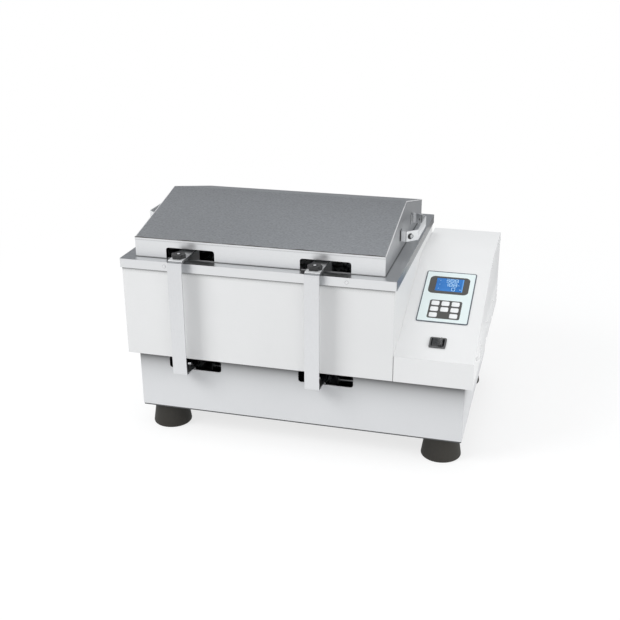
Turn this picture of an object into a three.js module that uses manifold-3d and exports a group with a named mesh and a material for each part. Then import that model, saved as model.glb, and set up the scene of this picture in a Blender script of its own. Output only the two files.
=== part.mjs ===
// Shaking water bath: a stainless tank in a painted casing, a gabled lid with windows, and a rack
// that four outside arms shake from left to right, driven by a crank in the base below.
// Millimetres. X runs right, Y runs back, Z runs up. The casing's front left corner is at
// X = 0, Y = 0 and the bench at Z = 0 while the pieces are built; the whole is centred at the end.
import * as THREE from 'three';
import { mergeVertices } from 'three/addons/utils/BufferGeometryUtils.js';
import Module from 'manifold-3d';

const wasm = await Module();
wasm.setup();

// Driving dimensions of the whole machine
const bathLength = 495.4;
const bathDepth = 416.1;
const rimLevel = 339.5;
const baseHeight = 108.7;
const consoleLength = 135.2;
const consoleDepth = 448.7;
const stroke = 26;
const fit = 0.3;
const weld = 0.2;
const overrun = 5;

// Rubber feet with their moulded-in studs, and the bottom plate
const foot = {
  height: 48.2, topRadius: 31.4, bottomRadius: 36, edge: 3, insetX: 40.3, insetY: 42.1,
  recessRadius: 10, recessDepth: 26,
};
const footStud = { headRadius: 7.5, headHeight: 4, radius: 4, reach: 6 };
const bottomPlate = { thickness: 2.5, inset: 1 };

// Base chassis under bath and console, and the slots that the arms pass through
const base = {
  sheet: 1.5, insetLeft: 18.7, insetRight: 13.6, insetFront: 8.6, flange: 14, corner: 2,
};
const slot = { length: 100, height: 25.2, corner: 5, shift: 2.9, topLand: 3 };

// Painted casing round the tank
const casing = { sheet: 1.2, flange: 12, footFlange: 22, corner: 2, seam: 1, wirePort: 12 };

// Stainless rim: outer skirt, flat ledge and the low lip inside the lid
const rim = { sheet: 1.2, overhang: 2.3, skirt: 16.4, lip: 1, lidPlay: 2 };
const rivet = { headRadius: 2.5, headHeight: 1, shankRadius: 1.5, fromEnd: 83.1, drop: 8 };

// Gabled lid
const lid = {
  marginX: 21.3, marginY: 17.8, wall: 35.4, rise: 46, sheet: 1, hemDrop: 3, hemStand: 0.8,
};
const lidWindow = { length: 90, height: 20.6, corner: 4.5, fromEnd: 124.95 };
const handle = {
  length: 126, back: 4.7, reach: 30.3, reachLeft: 37, leg: 12.4, strap: 2, height: 19, lift: 22.5,
  bend: 2.2, foot: 14, flange: 15, screwHole: 2.3,
};
const handleScrew = { headRadius: 4.5, headHeight: 2.2, shankRadius: 2, shank: 6 };
const handleScrewShare = 0.4;

// Tank, lagging, heater, probe and drain
const tank = { sheet: 1, depth: 150, corner: 14, drainRadius: 6 };
const lagging = { play: 0.6, top: 16, portMargin: 20, portHeight: 40 };
const heater = {
  radius: 4.25, setIn: 105.75, level: 13.5, bend: 30, far: 60, terminal: 16, bushRadius: 8,
  flangeRadius: 12, flange: 4, steps: 30, sides: 8,
};
const probe = { radius: 3, level: 26, setBack: 60.75, length: 60 };
const drain = {
  radius: 8, wall: 2, drop: 17, setBack: 45, bodyRadius: 12, bodyLength: 20, outlet: 9,
  stemRadius: 4, stem: 5,
};
const lever = { length: 34, width: 9, thickness: 2.5, hubRadius: 7, corner: 3 };

// Drive arms, rack and the knobs that clamp them together
const arm = {
  width: 26.5, thickness: 2.5, bend: 3.5, standOff: 25.7, top: 8.5, bottom: 205.3, topLeg: 41,
  bottomLeg: 88, screwInset: 14, screwPitch: 26,
};
const armScrew = { headRadius: 5, headHeight: 3.5, shankRadius: 2.7, shank: 10 };
const hanger = { thickness: 2, bend: 3.5, front: 6.3, drop: 62, foot: 24 };
const rack = {
  endPlay: 15.4, sheet: 1.2, edge: 15, level: 42, hole: 12, holeSides: 8, pitch: 46, margin: 14,
  deep: 5,
};
const knob = {
  radius: 13, lobe: 1, lobes: 6, pointsPerLobe: 4, height: 7, bevel: 1.2, set: 23.4, studRadius: 2.5,
  hubRadius: 4.8, hub: 0.8,
};
const nut = { radius: 4.6, thickness: 3.8 };

// Carriage, its bearings and guide rods, and the crank drive
const carriage = {
  barWidth: 30, barHeight: 12.3, railHeight: 5.7, railWidth: 34, wallGap: 2, reach: 45,
};
const guide = {
  radius: 6, spread: 108, play: 15.5, tail: 7, supportLength: 14, supportWidth: 30,
  supportCrown: 5, supportBase: 8,
};
const bearing = { length: 40, width: 32, halfHeight: 15.5 };
const crank = {
  discRadius: 28, discHeight: 9, shaftRadius: 6, pinRadius: 5, pinHoleRadius: 4, hubRadius: 12,
  hub: 6,
};
const rod = { eyeRadius: 13, width: 16, thickness: 8, pinLand: 1.4 };
const motor = {
  box: 80, boxHeight: 35, corner: 6, radius: 37, height: 40, bossRadius: 18, boss: 3,
  boreDepth: 15, capRadius: 30, cap: 3,
};
const bracket = { length: 108, thickness: 4, corner: 8, boreRadius: 21 };
const shaftPort = 24;

// Console: front, slope and top in one folded cover, with side, rear and floor panels
const consoleBody = {
  sheet: 1.2, frontHeight: 47.1, topHeight: 145.7, slopeRun: 273.8, lip: 2.5, flange: 22,
};
const louvre = {
  rows: 4, columns: 3, gap: 13, rise: 7, depth: 3.5, rowPitch: 10.5,
  frontLand: 97.7, rearLand: 34, level: 12,
};
const panelScrew = { headRadius: 3.6, headHeight: 1.8, shankRadius: 1.6, shank: 6 };
const sideScrew = {
  fromFront: 38.3, frontLevel: 41.6, fromBend: 16.2, bendDrop: 11.6, fromRear: 22.2, rearDrop: 8,
};
const rearScrewInset = 10;

// Control panel on the slope
const overlay = { left: 20, up: 96.3, width: 92, height: 142, thickness: 1, corner: 5, land: 10 };
const display = { width: 50.3, height: 37.2, up: 86.2, boardMargin: 6, board: 1.6 };
const key = {
  width: 14.1, height: 11.8, corner: 2.5, pitchX: 18.15, pitchY: 16.1, up: 13.5, stand: 0.4,
  depth: 1.2, travel: 0.6,
};
const keyPlaces = [[-1, 2], [0, 2], [1, 2], [-1, 1], [0, 1], [1, 1], [-1, 0], [1, 0]];
const rocker = {
  up: 44, width: 29, height: 25.5, bezel: 2, corner: 2.5, frame: 3.3, body: 18, bodyInset: 1.6,
  pocket: 13, pivot: 2, half: 9.8, shoulder: 0.6, tipHalf: 7.9, tip: 5.6, valley: 2.4, side: 3,
  belly: 8, bellyHalf: 4, dishSteps: 4, tiltDegrees: 14,
};

// Control board and mains inlet
const board = {
  length: 104, motorGap: 56.65, thickness: 1.6, back: 16, postRadius: 3, post: 8, postInset: 6,
  tallest: 38,
};
const boardPartShares = [
  { x: 0.29, y: 0.28, length: 0.44, depth: 0.41, height: 1 },
  { x: 0.75, y: 0.27, length: 0.25, depth: 0.27, height: 0.58 },
  { x: 0.33, y: 0.77, length: 0.38, depth: 0.16, height: 0.37 },
  { x: 0.77, y: 0.72, length: 0.23, depth: 0.34, height: 0.68 },
];
const inlet = {
  width: 50, height: 30, flange: 3, corner: 5, bodyWidth: 30, bodyHeight: 24, body: 24,
  pocketWidth: 25, pocketHeight: 17, pocket: 16, level: 34, pinWidth: 2, pinHeight: 5, pin: 12,
  pinPitch: 7, pinRise: 4,
};

// Top of a screw's head against its seat
const domeShare = 0.7;

// Roundness of turned pieces, in sides, and of corners and bends, in steps
const roundLarge = 24;
const roundSmall = 12;
const roundScrew = 8;
const hexSides = 6;
const bendSteps = 2;
const cornerSteps = 1;
const openCornerSteps = 2;

// Levels and places that follow from the sizes above
const baseBottom = foot.height;
const baseTop = baseBottom + baseHeight;
const midX = bathLength / 2;
const midY = bathDepth / 2;
const baseLeft = base.insetLeft;
const baseRight = bathLength + casing.seam + consoleLength - base.insetRight;
const baseFront = base.insetFront;
const baseBack = bathDepth - base.insetFront;
const plateTop = baseBottom + bottomPlate.thickness;
const consoleLeft = bathLength + casing.seam;
const consoleRight = consoleLeft + consoleLength;
const consoleMidX = (consoleLeft + consoleRight) / 2;
const slopeAngle = Math.atan2(
  consoleBody.topHeight - consoleBody.frontHeight, consoleBody.slopeRun,
);
const windowPlaces = [lidWindow.fromEnd, bathLength - lidWindow.fromEnd];
const armPlaces = windowPlaces.map((x) => x - stroke / 2);
const ledgeInset = lid.marginX + lid.sheet + rim.lidPlay;
const ledgeInsetY = lid.marginY + lid.sheet + rim.lidPlay;
const tankInset = ledgeInset + rim.sheet + fit;
const tankInsetY = ledgeInsetY + rim.sheet + fit;
const tankFloor = rimLevel - tank.depth;
const armTop = rimLevel + arm.top;
const armFoot = rimLevel - arm.bottom;
const hangerTop = armTop + fit + hanger.thickness;
const rackFloor = tankFloor + rack.level;
const carriageTop = armFoot - fit;
const barBottom = carriageTop - carriage.barHeight;
const railTop = barBottom;
const railBottom = railTop - carriage.railHeight;
const guideLevel = railBottom - fit - bearing.halfHeight;
const crankX = consoleMidX;
const pinX = armPlaces[1] + carriage.reach;
const rodLength = crankX - stroke / 2 - pinX;
const rodBottom = railTop + fit;
const discBottom = rodBottom + rod.thickness + rod.pinLand + fit;

// Finishes, one material each
const finishes = {
  paint: { color: 0xe9eaea, roughness: 0.45, metalness: 0 },
  basePaint: { color: 0xdcdde0, roughness: 0.5, metalness: 0 },
  stainless: { color: 0xc9cbcd, roughness: 0.28, metalness: 1 },
  brushed: { color: 0x8b8e90, roughness: 0.42, metalness: 1 },
  steel: { color: 0xa9abad, roughness: 0.4, metalness: 1 },
  brass: { color: 0xb8985a, roughness: 0.35, metalness: 1 },
  aluminium: { color: 0xb4b6b8, roughness: 0.45, metalness: 1 },
  rubber: { color: 0x2c2d2f, roughness: 0.85, metalness: 0 },
  blackPlastic: { color: 0x26282a, roughness: 0.5, metalness: 0 },
  wool: { color: 0xd8cfae, roughness: 1, metalness: 0 },
  overlayFilm: { color: 0xe2eeee, roughness: 0.4, metalness: 0 },
  keyFilm: { color: 0xf2f4f4, roughness: 0.4, metalness: 0 },
  screen: { color: 0x467dcd, roughness: 0.2, metalness: 0 },
  circuit: { color: 0x1f5c38, roughness: 0.6, metalness: 0 },
};
const materials = Object.fromEntries(
  Object.entries(finishes).map(([name, look]) => [name, new THREE.MeshStandardMaterial(look)]),
);

// A closed geometry with shared vertices and no empty triangles.
function welded(geometry) {
  const plain = geometry.clone();
  plain.deleteAttribute('normal');
  plain.deleteAttribute('uv');
  const merged = mergeVertices(plain);
  const kept = [];
  for (let i = 0; i < merged.index.count; i += 3) {
    const [a, b, c] = [0, 1, 2].map((corner) => merged.index.getX(i + corner));
    if (a !== b && b !== c && c !== a) {
      kept.push(a, b, c);
    }
  }
  merged.setIndex(kept);
  return merged;
}

function toSolid(geometry) {
  const shell = welded(geometry);
  return new wasm.Manifold(new wasm.Mesh({
    numProp: 3,
    vertProperties: new Float32Array(shell.attributes.position.array),
    triVerts: new Uint32Array(shell.index.array),
  }));
}

function toGeometry(body) {
  const mesh = body.getMesh();
  const geometry = new THREE.BufferGeometry();
  geometry.setAttribute('position', new THREE.BufferAttribute(mesh.vertProperties, 3));
  geometry.setIndex(new THREE.BufferAttribute(mesh.triVerts, 1));
  return geometry;
}

function join(...geometries) {
  return toGeometry(geometries.map(toSolid).reduce((body, next) => body.add(next)));
}

function cut(geometry, ...tools) {
  return toGeometry(tools.map(toSolid).reduce((body, tool) => body.subtract(tool), toSolid(geometry)));
}

function block(x0, x1, y0, y1, z0, z1) {
  const geometry = new THREE.BoxGeometry(x1 - x0, y1 - y0, z1 - z0);
  return geometry.translate((x0 + x1) / 2, (y0 + y1) / 2, (z0 + z1) / 2);
}

function roundedShape(x0, x1, y0, y1, radius) {
  const shape = new THREE.Shape();
  shape.moveTo(x0 + radius, y0);
  shape.lineTo(x1 - radius, y0);
  shape.absarc(x1 - radius, y0 + radius, radius, -Math.PI / 2, 0);
  shape.lineTo(x1, y1 - radius);
  shape.absarc(x1 - radius, y1 - radius, radius, 0, Math.PI / 2);
  shape.lineTo(x0 + radius, y1);
  shape.absarc(x0 + radius, y1 - radius, radius, Math.PI / 2, Math.PI);
  shape.lineTo(x0, y0 + radius);
  shape.absarc(x0 + radius, y0 + radius, radius, Math.PI, Math.PI * 1.5);
  return shape;
}

// Extrusions of a flat shape: up along Z, to the right along X, or back along Y.
function raised(shape, z0, z1, steps = cornerSteps) {
  const options = { depth: z1 - z0, bevelEnabled: false, curveSegments: steps };
  return new THREE.ExtrudeGeometry(shape, options).translate(0, 0, z0);
}

const towardX = new THREE.Matrix4().makeBasis(
  new THREE.Vector3(0, 1, 0), new THREE.Vector3(0, 0, 1), new THREE.Vector3(1, 0, 0),
);
const towardY = new THREE.Matrix4().makeBasis(
  new THREE.Vector3(1, 0, 0), new THREE.Vector3(0, 0, 1), new THREE.Vector3(0, -1, 0),
);

function acrossX(shape, x0, x1) {
  return raised(shape, x0, x1).applyMatrix4(towardX);
}

function acrossY(shape, y0, y1, steps = cornerSteps) {
  return raised(shape, -y1, -y0, steps).applyMatrix4(towardY);
}

function roundedBlock(x0, x1, y0, y1, z0, z1, radius, steps = cornerSteps) {
  return raised(roundedShape(x0, x1, y0, y1, radius), z0, z1, steps);
}

function polygon(points) {
  return new THREE.Shape(points.map(([x, y]) => new THREE.Vector2(x, y)));
}

// A turned piece: its profile of [radius, height] points runs up the outside from the axis.
function turned(profile, sides = roundSmall) {
  const points = profile.map(([radius, height]) => new THREE.Vector2(radius, height));
  return new THREE.LatheGeometry(points, sides).rotateX(Math.PI / 2);
}

function rodZ(radius, z0, z1, sides = roundSmall) {
  return turned([[0, z0], [radius, z0], [radius, z1], [0, z1]], sides);
}

function rodX(radius, x0, x1, sides = roundSmall) {
  return rodZ(radius, x0, x1, sides).rotateY(Math.PI / 2);
}

function rodY(radius, y0, y1, sides = roundSmall) {
  return rodZ(radius, y0, y1, sides).rotateX(-Math.PI / 2);
}

// The outline of a strip of sheet bent along a centre line, each corner rounded to one radius.
function bentStrip(corners, thickness, radius) {
  const path = corners.map(([x, y]) => new THREE.Vector2(x, y));
  const samples = [];
  const headings = path.slice(1).map((point, i) => point.clone().sub(path[i]).normalize());
  samples.push([path[0], headings[0].angle()]);
  for (let i = 1; i < path.length - 1; i += 1) {
    const before = headings[i - 1];
    const turn = Math.atan2(before.cross(headings[i]), before.dot(headings[i]));
    const reach = radius * Math.tan(Math.abs(turn) / 2);
    const start = path[i].clone().addScaledVector(before, -reach);
    const inward = new THREE.Vector2(-before.y, before.x).multiplyScalar(Math.sign(turn));
    const centre = start.clone().addScaledVector(inward, radius);
    for (let step = 0; step <= bendSteps; step += 1) {
      const swing = turn * step / bendSteps;
      samples.push([start.clone().rotateAround(centre, swing), before.angle() + swing]);
    }
  }
  samples.push([path[path.length - 1], headings[headings.length - 1].angle()]);
  const side = (sign) => samples.map(([point, angle]) => new THREE.Vector2(
    point.x - sign * Math.sin(angle) * thickness / 2,
    point.y + sign * Math.cos(angle) * thickness / 2,
  ));
  return new THREE.Shape([...side(-1), ...side(1).reverse()]);
}

// A screw with its seat at Z = 0, its domed head above and its shank below.
function screw(size, shank) {
  return turned([
    [0, -shank], [size.shankRadius, -shank], [size.shankRadius, 0], [size.headRadius, 0],
    [size.headRadius * domeShare, size.headHeight], [0, size.headHeight],
  ], roundScrew);
}

const bath = new THREE.Group();

function add(name, geometry, finish, parent = bath) {
  const shape = welded(geometry);
  shape.computeVertexNormals();
  const mesh = new THREE.Mesh(shape, materials[finish]);
  mesh.name = name;
  parent.add(mesh);
  return mesh;
}

// Four rubber cones under the base, each hollow at the sole round the head of its stud.
const footPlaces = [
  ['front_left', baseLeft + foot.insetX, baseFront + foot.insetY],
  ['front_right', baseRight - foot.insetX, baseFront + foot.insetY],
  ['rear_left', baseLeft + foot.insetX, baseBack - foot.insetY],
  ['rear_right', baseRight - foot.insetX, baseBack - foot.insetY],
];

function rubberFoot() {
  const stud = plateTop + footStud.reach;
  return turned([
    [0, foot.recessDepth - footStud.headHeight],
    [footStud.headRadius, foot.recessDepth - footStud.headHeight],
    [footStud.headRadius, foot.recessDepth], [foot.recessRadius, foot.recessDepth],
    [foot.recessRadius, 0], [foot.bottomRadius - foot.edge, 0],
    [foot.bottomRadius, foot.edge],
    [foot.topRadius, foot.height - fit], [footStud.radius, foot.height - fit],
    [footStud.radius, stud], [0, stud],
  ], roundLarge);
}

for (const [name, x, y] of footPlaces) {
  add(`rubber_foot_${name}`, rubberFoot(), 'rubber').position.set(x, y, 0);
}

// Bottom plate, drilled for the studs of the feet.
add('base_bottom_plate', cut(
  roundedBlock(
    baseLeft + bottomPlate.inset, baseRight - bottomPlate.inset,
    baseFront + bottomPlate.inset, baseBack - bottomPlate.inset, baseBottom, plateTop, base.corner,
  ),
  ...footPlaces.map(([, x, y]) => (
    rodZ(footStud.radius + fit, baseBottom - overrun, plateTop + overrun).translate(x, y, 0)
  )),
), 'steel');

// Base chassis: a folded box open below, slotted in front and behind for the arms.
function baseChassis() {
  const bottom = plateTop + fit;
  const inner = base.sheet;
  const shell = roundedBlock(
    baseLeft, baseRight, baseFront, baseBack, bottom, baseTop, base.corner,
  );
  const room = block(
    baseLeft + inner, baseRight - inner, baseFront + inner, baseBack - inner,
    bottom + inner, baseTop - inner,
  );
  const mouth = block(
    baseLeft + base.flange, baseRight - base.flange, baseFront + base.flange, baseBack - base.flange,
    bottom - overrun, bottom + inner + overrun,
  );
  const slots = windowPlaces.map((x) => acrossY(
    roundedShape(
      x + slot.shift - slot.length / 2, x + slot.shift + slot.length / 2,
      baseTop - slot.height, baseTop - slot.topLand, slot.corner,
    ),
    baseFront - overrun, baseBack + overrun, openCornerSteps,
  ));
  const port = rodZ(shaftPort / 2, baseTop - inner - overrun, baseTop + overrun)
    .translate(crankX, midY, 0);
  return cut(shell, room, mouth, ...slots, port);
}

add('base_chassis', baseChassis(), 'basePaint');

// Painted casing: four walls with inward flanges under the rim and on the base.
const casingTop = rimLevel - rim.sheet - fit;
const drainLevel = tankFloor - tank.sheet - drain.drop;

function bathCasing() {
  const bottom = baseTop + fit;
  const inner = casing.sheet;
  const shell = roundedBlock(0, bathLength, 0, bathDepth, bottom, casingTop, casing.corner);
  const room = block(
    inner, bathLength - inner, inner, bathDepth - inner, bottom + inner, casingTop - inner,
  );
  const mouth = block(
    casing.flange, bathLength - casing.flange, casing.flange, bathDepth - casing.flange,
    casingTop - inner - overrun, casingTop + overrun,
  );
  const well = block(
    casing.footFlange, bathLength - casing.footFlange,
    casing.footFlange, bathDepth - casing.footFlange, bottom - overrun, bottom + inner + overrun,
  );
  const drainHole = rodY(drain.radius + fit, bathDepth - inner - overrun, bathDepth + overrun)
    .translate(midX, 0, drainLevel);
  const wirePort = rodX(casing.wirePort, bathLength - inner - overrun, bathLength + overrun)
    .translate(0, midY, tankFloor + heater.level);
  return cut(shell, room, mouth, well, drainHole, wirePort);
}

add('bath_casing', bathCasing(), 'paint');

// Stainless rim: riveted skirt over the casing, flat ledge for the lid, low lip against splashes.
function bathRim() {
  const outer = -rim.overhang;
  const right = bathLength + rim.overhang;
  const back = bathDepth + rim.overhang;
  const skirtBottom = rimLevel - rim.skirt;
  const ledgeBottom = rimLevel - rim.sheet;
  const hat = roundedBlock(outer, right, outer, back, skirtBottom, rimLevel, rim.overhang);
  const under = block(
    outer + rim.sheet, right - rim.sheet, outer + rim.sheet, back - rim.sheet,
    skirtBottom - overrun, ledgeBottom,
  );
  const lip = roundedBlock(
    ledgeInset, bathLength - ledgeInset, ledgeInsetY, bathDepth - ledgeInsetY,
    ledgeBottom, rimLevel + rim.lip, tank.corner + rim.sheet + fit, openCornerSteps,
  );
  const opening = roundedBlock(
    ledgeInset + rim.sheet, bathLength - ledgeInset - rim.sheet,
    ledgeInsetY + rim.sheet, bathDepth - ledgeInsetY - rim.sheet,
    ledgeBottom - overrun, rimLevel + rim.lip + overrun, tank.corner + fit, openCornerSteps,
  );
  const face = midY + rim.overhang;
  const rivets = [-1, 1].flatMap((side) => [-1, 1].map((facing) => (
    screw(rivet, rim.sheet).rotateX(-facing * Math.PI / 2)
      .translate(midX + side * (midX - rivet.fromEnd), midY + facing * face, rimLevel - rivet.drop)
  )));
  return join(cut(join(cut(hat, under), lip), opening), ...rivets);
}

add('bath_rim', bathRim(), 'stainless');

// Deep-drawn tank with rounded corners, drilled for the drain, the heater and the probe.
const tankLeft = tankInset;
const tankRight = bathLength - tankInset;
const tankFront = tankInsetY;
const tankBack = bathDepth - tankInsetY;
const drainY = tankBack - drain.setBack;
const heaterFront = tankFront + heater.setIn;
const heaterBack = tankBack - heater.setIn;
const heaterLevel = tankFloor + heater.level;
const probeLevel = tankFloor + probe.level;
const probeY = tankBack - probe.setBack;

function bathTank() {
  const top = rimLevel + rim.lip - fit;
  const inner = tank.sheet;
  const shell = roundedBlock(
    tankLeft, tankRight, tankFront, tankBack, tankFloor - inner, top, tank.corner, openCornerSteps,
  );
  const room = roundedBlock(
    tankLeft + inner, tankRight - inner, tankFront + inner, tankBack - inner,
    tankFloor, top + overrun, tank.corner - inner, openCornerSteps,
  );
  const wallHole = (radius) => rodX(radius, tankRight - inner - overrun, tankRight + overrun);
  return cut(
    shell, room,
    rodZ(tank.drainRadius, tankFloor - inner - overrun, tankFloor + overrun)
      .translate(midX, drainY, 0),
    wallHole(heater.bushRadius + fit).translate(0, heaterFront, heaterLevel),
    wallHole(heater.bushRadius + fit).translate(0, heaterBack, heaterLevel),
    wallHole(heater.bushRadius + fit).translate(0, probeY, probeLevel),
  );
}

add('bath_tank', bathTank(), 'stainless');

// Mineral wool round the tank, open at the right for the wiring and behind for the drain.
function tankLagging() {
  const bottom = baseTop + fit + casing.sheet + lagging.play;
  const top = casingTop - lagging.top;
  const outer = casing.sheet + lagging.play;
  const jacket = block(outer, bathLength - outer, outer, bathDepth - outer, bottom, top);
  const gap = tankInset - lagging.play;
  const gapY = tankInsetY - lagging.play;
  const room = block(gap, bathLength - gap, gapY, bathDepth - gapY, bottom - overrun, top + overrun);
  const wirePort = block(
    bathLength - gap - overrun, bathLength,
    heaterFront - lagging.portMargin, probeY + lagging.portMargin,
    bottom - overrun, heaterLevel + lagging.portHeight,
  );
  const drainPort = block(
    midX - lagging.portMargin, midX + lagging.portMargin, bathDepth - gapY - overrun, bathDepth,
    bottom - overrun, tankFloor,
  );
  return cut(jacket, room, wirePort, drainPort);
}

add('tank_lagging', tankLagging(), 'wool');

// A bush in the tank's right wall: flange inside and nut outside, each just off the sheet.
function wallBush() {
  const inside = tankRight - tank.sheet - fit;
  const outside = tankRight + fit;
  return join(
    rodX(heater.bushRadius, inside - heater.flange, outside + heater.flange),
    rodX(heater.flangeRadius, inside - heater.flange, inside),
    rodX(heater.flangeRadius, outside, outside + heater.flange, hexSides),
  );
}

// Heating element: one tube bent to a U over the tank floor, both ends through the right wall.
function heaterElement() {
  const start = tankRight + heater.flange + heater.terminal;
  const far = tankLeft + heater.far;
  const path = new THREE.CurvePath();
  const at = (x, y) => new THREE.Vector3(x, y, heaterLevel);
  const bendFront = heaterFront + heater.bend;
  const bendBack = heaterBack - heater.bend;
  path.add(new THREE.LineCurve3(at(start, heaterFront), at(far + heater.bend, heaterFront)));
  path.add(new THREE.QuadraticBezierCurve3(
    at(far + heater.bend, heaterFront), at(far, heaterFront), at(far, bendFront),
  ));
  path.add(new THREE.LineCurve3(at(far, bendFront), at(far, bendBack)));
  path.add(new THREE.QuadraticBezierCurve3(
    at(far, bendBack), at(far, heaterBack), at(far + heater.bend, heaterBack),
  ));
  path.add(new THREE.LineCurve3(at(far + heater.bend, heaterBack), at(start, heaterBack)));
  const section = new THREE.Shape().absarc(0, 0, heater.radius, 0, Math.PI * 2);
  const tube = new THREE.ExtrudeGeometry(section, {
    steps: heater.steps, curveSegments: heater.sides / 2, bevelEnabled: false, extrudePath: path,
  });
  return join(
    tube,
    wallBush().translate(0, heaterFront, heaterLevel),
    wallBush().translate(0, heaterBack, heaterLevel),
  );
}

add('heater_element', heaterElement(), 'steel');

// Temperature probe in the same kind of bush.
add('temperature_probe', join(
  wallBush(),
  rodX(probe.radius, tankRight - probe.length, tankRight + heater.flange + heater.terminal, roundScrew),
).translate(0, probeY, probeLevel), 'steel');

// Drain: an elbow under the tank floor, a pipe through the casing and a small ball valve behind.
const valveFront = bathDepth + fit;
const valveBack = valveFront + drain.bodyLength;
const leverLevel = drainLevel + drain.bodyRadius + drain.stem;
const stemY = (valveFront + valveBack) / 2;

function drainValve() {
  const top = tankFloor - tank.sheet - fit;
  const bore = drain.radius - drain.wall;
  const body = join(
    rodZ(drain.radius, drainLevel - drain.radius, top).translate(midX, drainY, 0),
    rodY(drain.radius, drainY, valveBack + drain.outlet).translate(midX, 0, drainLevel),
    rodY(drain.bodyRadius, valveFront, valveBack, hexSides).translate(midX, 0, drainLevel),
    rodZ(drain.stemRadius, drainLevel, leverLevel + lever.thickness + fit).translate(midX, stemY, 0),
  );
  return cut(
    body,
    rodZ(bore, drainLevel, top + overrun).translate(midX, drainY, 0),
    rodY(bore, valveBack - overrun, valveBack + drain.outlet + overrun)
      .translate(midX, 0, drainLevel),
  );
}

add('drain_valve', drainValve(), 'brass');

// Drain lever: a flat handle on the valve's stem, square to the pipe while the valve is shut.
function drainLever() {
  const bottom = leverLevel;
  const top = leverLevel + lever.thickness;
  return cut(
    join(
      rodZ(lever.hubRadius, bottom, top),
      roundedBlock(-lever.length, 0, -lever.width / 2, lever.width / 2, bottom, top, lever.corner),
    ),
    rodZ(drain.stemRadius + fit, bottom - overrun, top + overrun),
  );
}

add('drain_lever', drainLever(), 'blackPlastic').position.set(midX, stemY, 0);

// Lid: a gabled shell open below, with a hem along both eaves and windows for the arms.
const lidBottom = rimLevel + fit;
const eaves = rimLevel + lid.wall;
const ridge = eaves + lid.rise;
const lidLeft = lid.marginX;
const lidRight = bathLength - lid.marginX;
const lidFront = lid.marginY;
const lidBack = bathDepth - lid.marginY;

function gable(inset, bottom) {
  const pitch = lid.rise / (midY - lidFront);
  const rise = inset * Math.hypot(1, pitch);
  return polygon([
    [lidFront + inset, bottom], [lidBack - inset, bottom],
    [lidBack - inset, eaves + pitch * inset - rise], [midY, ridge - rise],
    [lidFront + inset, eaves + pitch * inset - rise],
  ]);
}

function lidShell() {
  const outer = acrossX(gable(0, lidBottom), lidLeft, lidRight);
  const hem = (y0, y1) => block(lidLeft, lidRight, y0, y1, eaves - lid.hemDrop, eaves);
  const hems = [
    hem(lidFront - lid.hemStand, lidFront + lid.sheet), hem(lidBack - lid.sheet, lidBack + lid.hemStand),
  ];
  const room = acrossX(
    gable(lid.sheet, lidBottom - overrun), lidLeft + lid.sheet, lidRight - lid.sheet,
  );
  const windows = windowPlaces.map((x) => acrossY(
    roundedShape(
      x - lidWindow.length / 2, x + lidWindow.length / 2,
      rimLevel - lidWindow.height, rimLevel + lidWindow.height, lidWindow.corner,
    ),
    lidFront - overrun, lidBack + overrun, openCornerSteps,
  ));
  const otherEnd = (bracket) => bracket.rotateX(Math.PI).translate(0, 0, handleBottom + handleTop);
  const brackets = handleEnds.flatMap(([reach, isLeft]) => [
    atLidEnd(handleBracket(reach), isLeft), atLidEnd(otherEnd(handleBracket(reach)), isLeft),
  ]);
  return join(cut(join(outer, ...hems), room, ...windows), ...brackets);
}

// Lid handles: a strap with a grip and two slanted ends, screwed to brackets that are welded to
// the lid's end walls. They are drawn in plan with the end wall at X = 0 and the middle at Y = 0.
const handleEnds = [[handle.reach, false], [handle.reachLeft, true]];
const handleBottom = rimLevel + handle.lift;
const handleTop = handleBottom + handle.height;
const handleY = midY + handle.back;

function handleStrap(reach) {
  const half = handle.length / 2;
  const slant = handle.reach - handle.leg;
  const outer = reach - handle.strap / 2;
  const start = outer - slant;
  const outline = bentStrip([
    [start, -half], [outer, -half + slant], [outer, half - slant], [start, half],
  ], handle.strap, handle.bend);
  return join(raised(outline, handleBottom, handleTop), ...handleScrews(reach));
}

function handleBracket(reach) {
  const half = handle.length / 2;
  const wall = handle.strap / 2 - weld;
  const slant = handle.reach - handle.leg;
  const offset = (handle.strap + fit) * Math.SQRT1_2;
  const start = reach - handle.strap / 2 - slant - offset;
  const edge = -half + offset;
  const flange = handle.flange * Math.SQRT1_2;
  const outline = bentStrip([
    [wall, edge + handle.foot], [wall, edge], [start, edge], [start + flange, edge + flange],
  ], handle.strap, handle.bend);
  return cut(raised(outline, handleBottom, handleTop), ...handleScrewHoles(reach));
}

function handleScrewPlace(reach) {
  const slant = handle.reach - handle.leg;
  const middle = slant * handleScrewShare;
  return [reach - handle.strap / 2 - slant + middle, handle.length / 2 - middle];
}

function handleScrewHoles(reach) {
  const [x, y] = handleScrewPlace(reach);
  return [-1, 1].map((side) => rodX(handle.screwHole, -handle.leg, handle.leg, roundScrew)
    .rotateZ(side * Math.PI / 4).translate(x, side * y, handleBottom + handle.height / 2));
}

function handleScrews(reach) {
  const [x, y] = handleScrewPlace(reach);
  return [-1, 1].map((side) => screw(handleScrew, handleScrew.shank).rotateY(Math.PI / 2)
    .translate(handle.strap / 2, 0, 0).rotateZ(side * Math.PI / 4)
    .translate(x, side * y, handleBottom + handle.height / 2));
}

// The right end as drawn, and the left end turned half round.
function atLidEnd(geometry, isLeft) {
  return isLeft
    ? geometry.rotateZ(Math.PI).translate(lidLeft, handleY, 0)
    : geometry.translate(lidRight, handleY, 0);
}

add('lid_shell', lidShell(), 'brushed');
for (const [reach, isLeft] of handleEnds) {
  add(`lid_handle_${isLeft ? 'left' : 'right'}`, atLidEnd(handleStrap(reach), isLeft), 'stainless');
}

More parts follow.
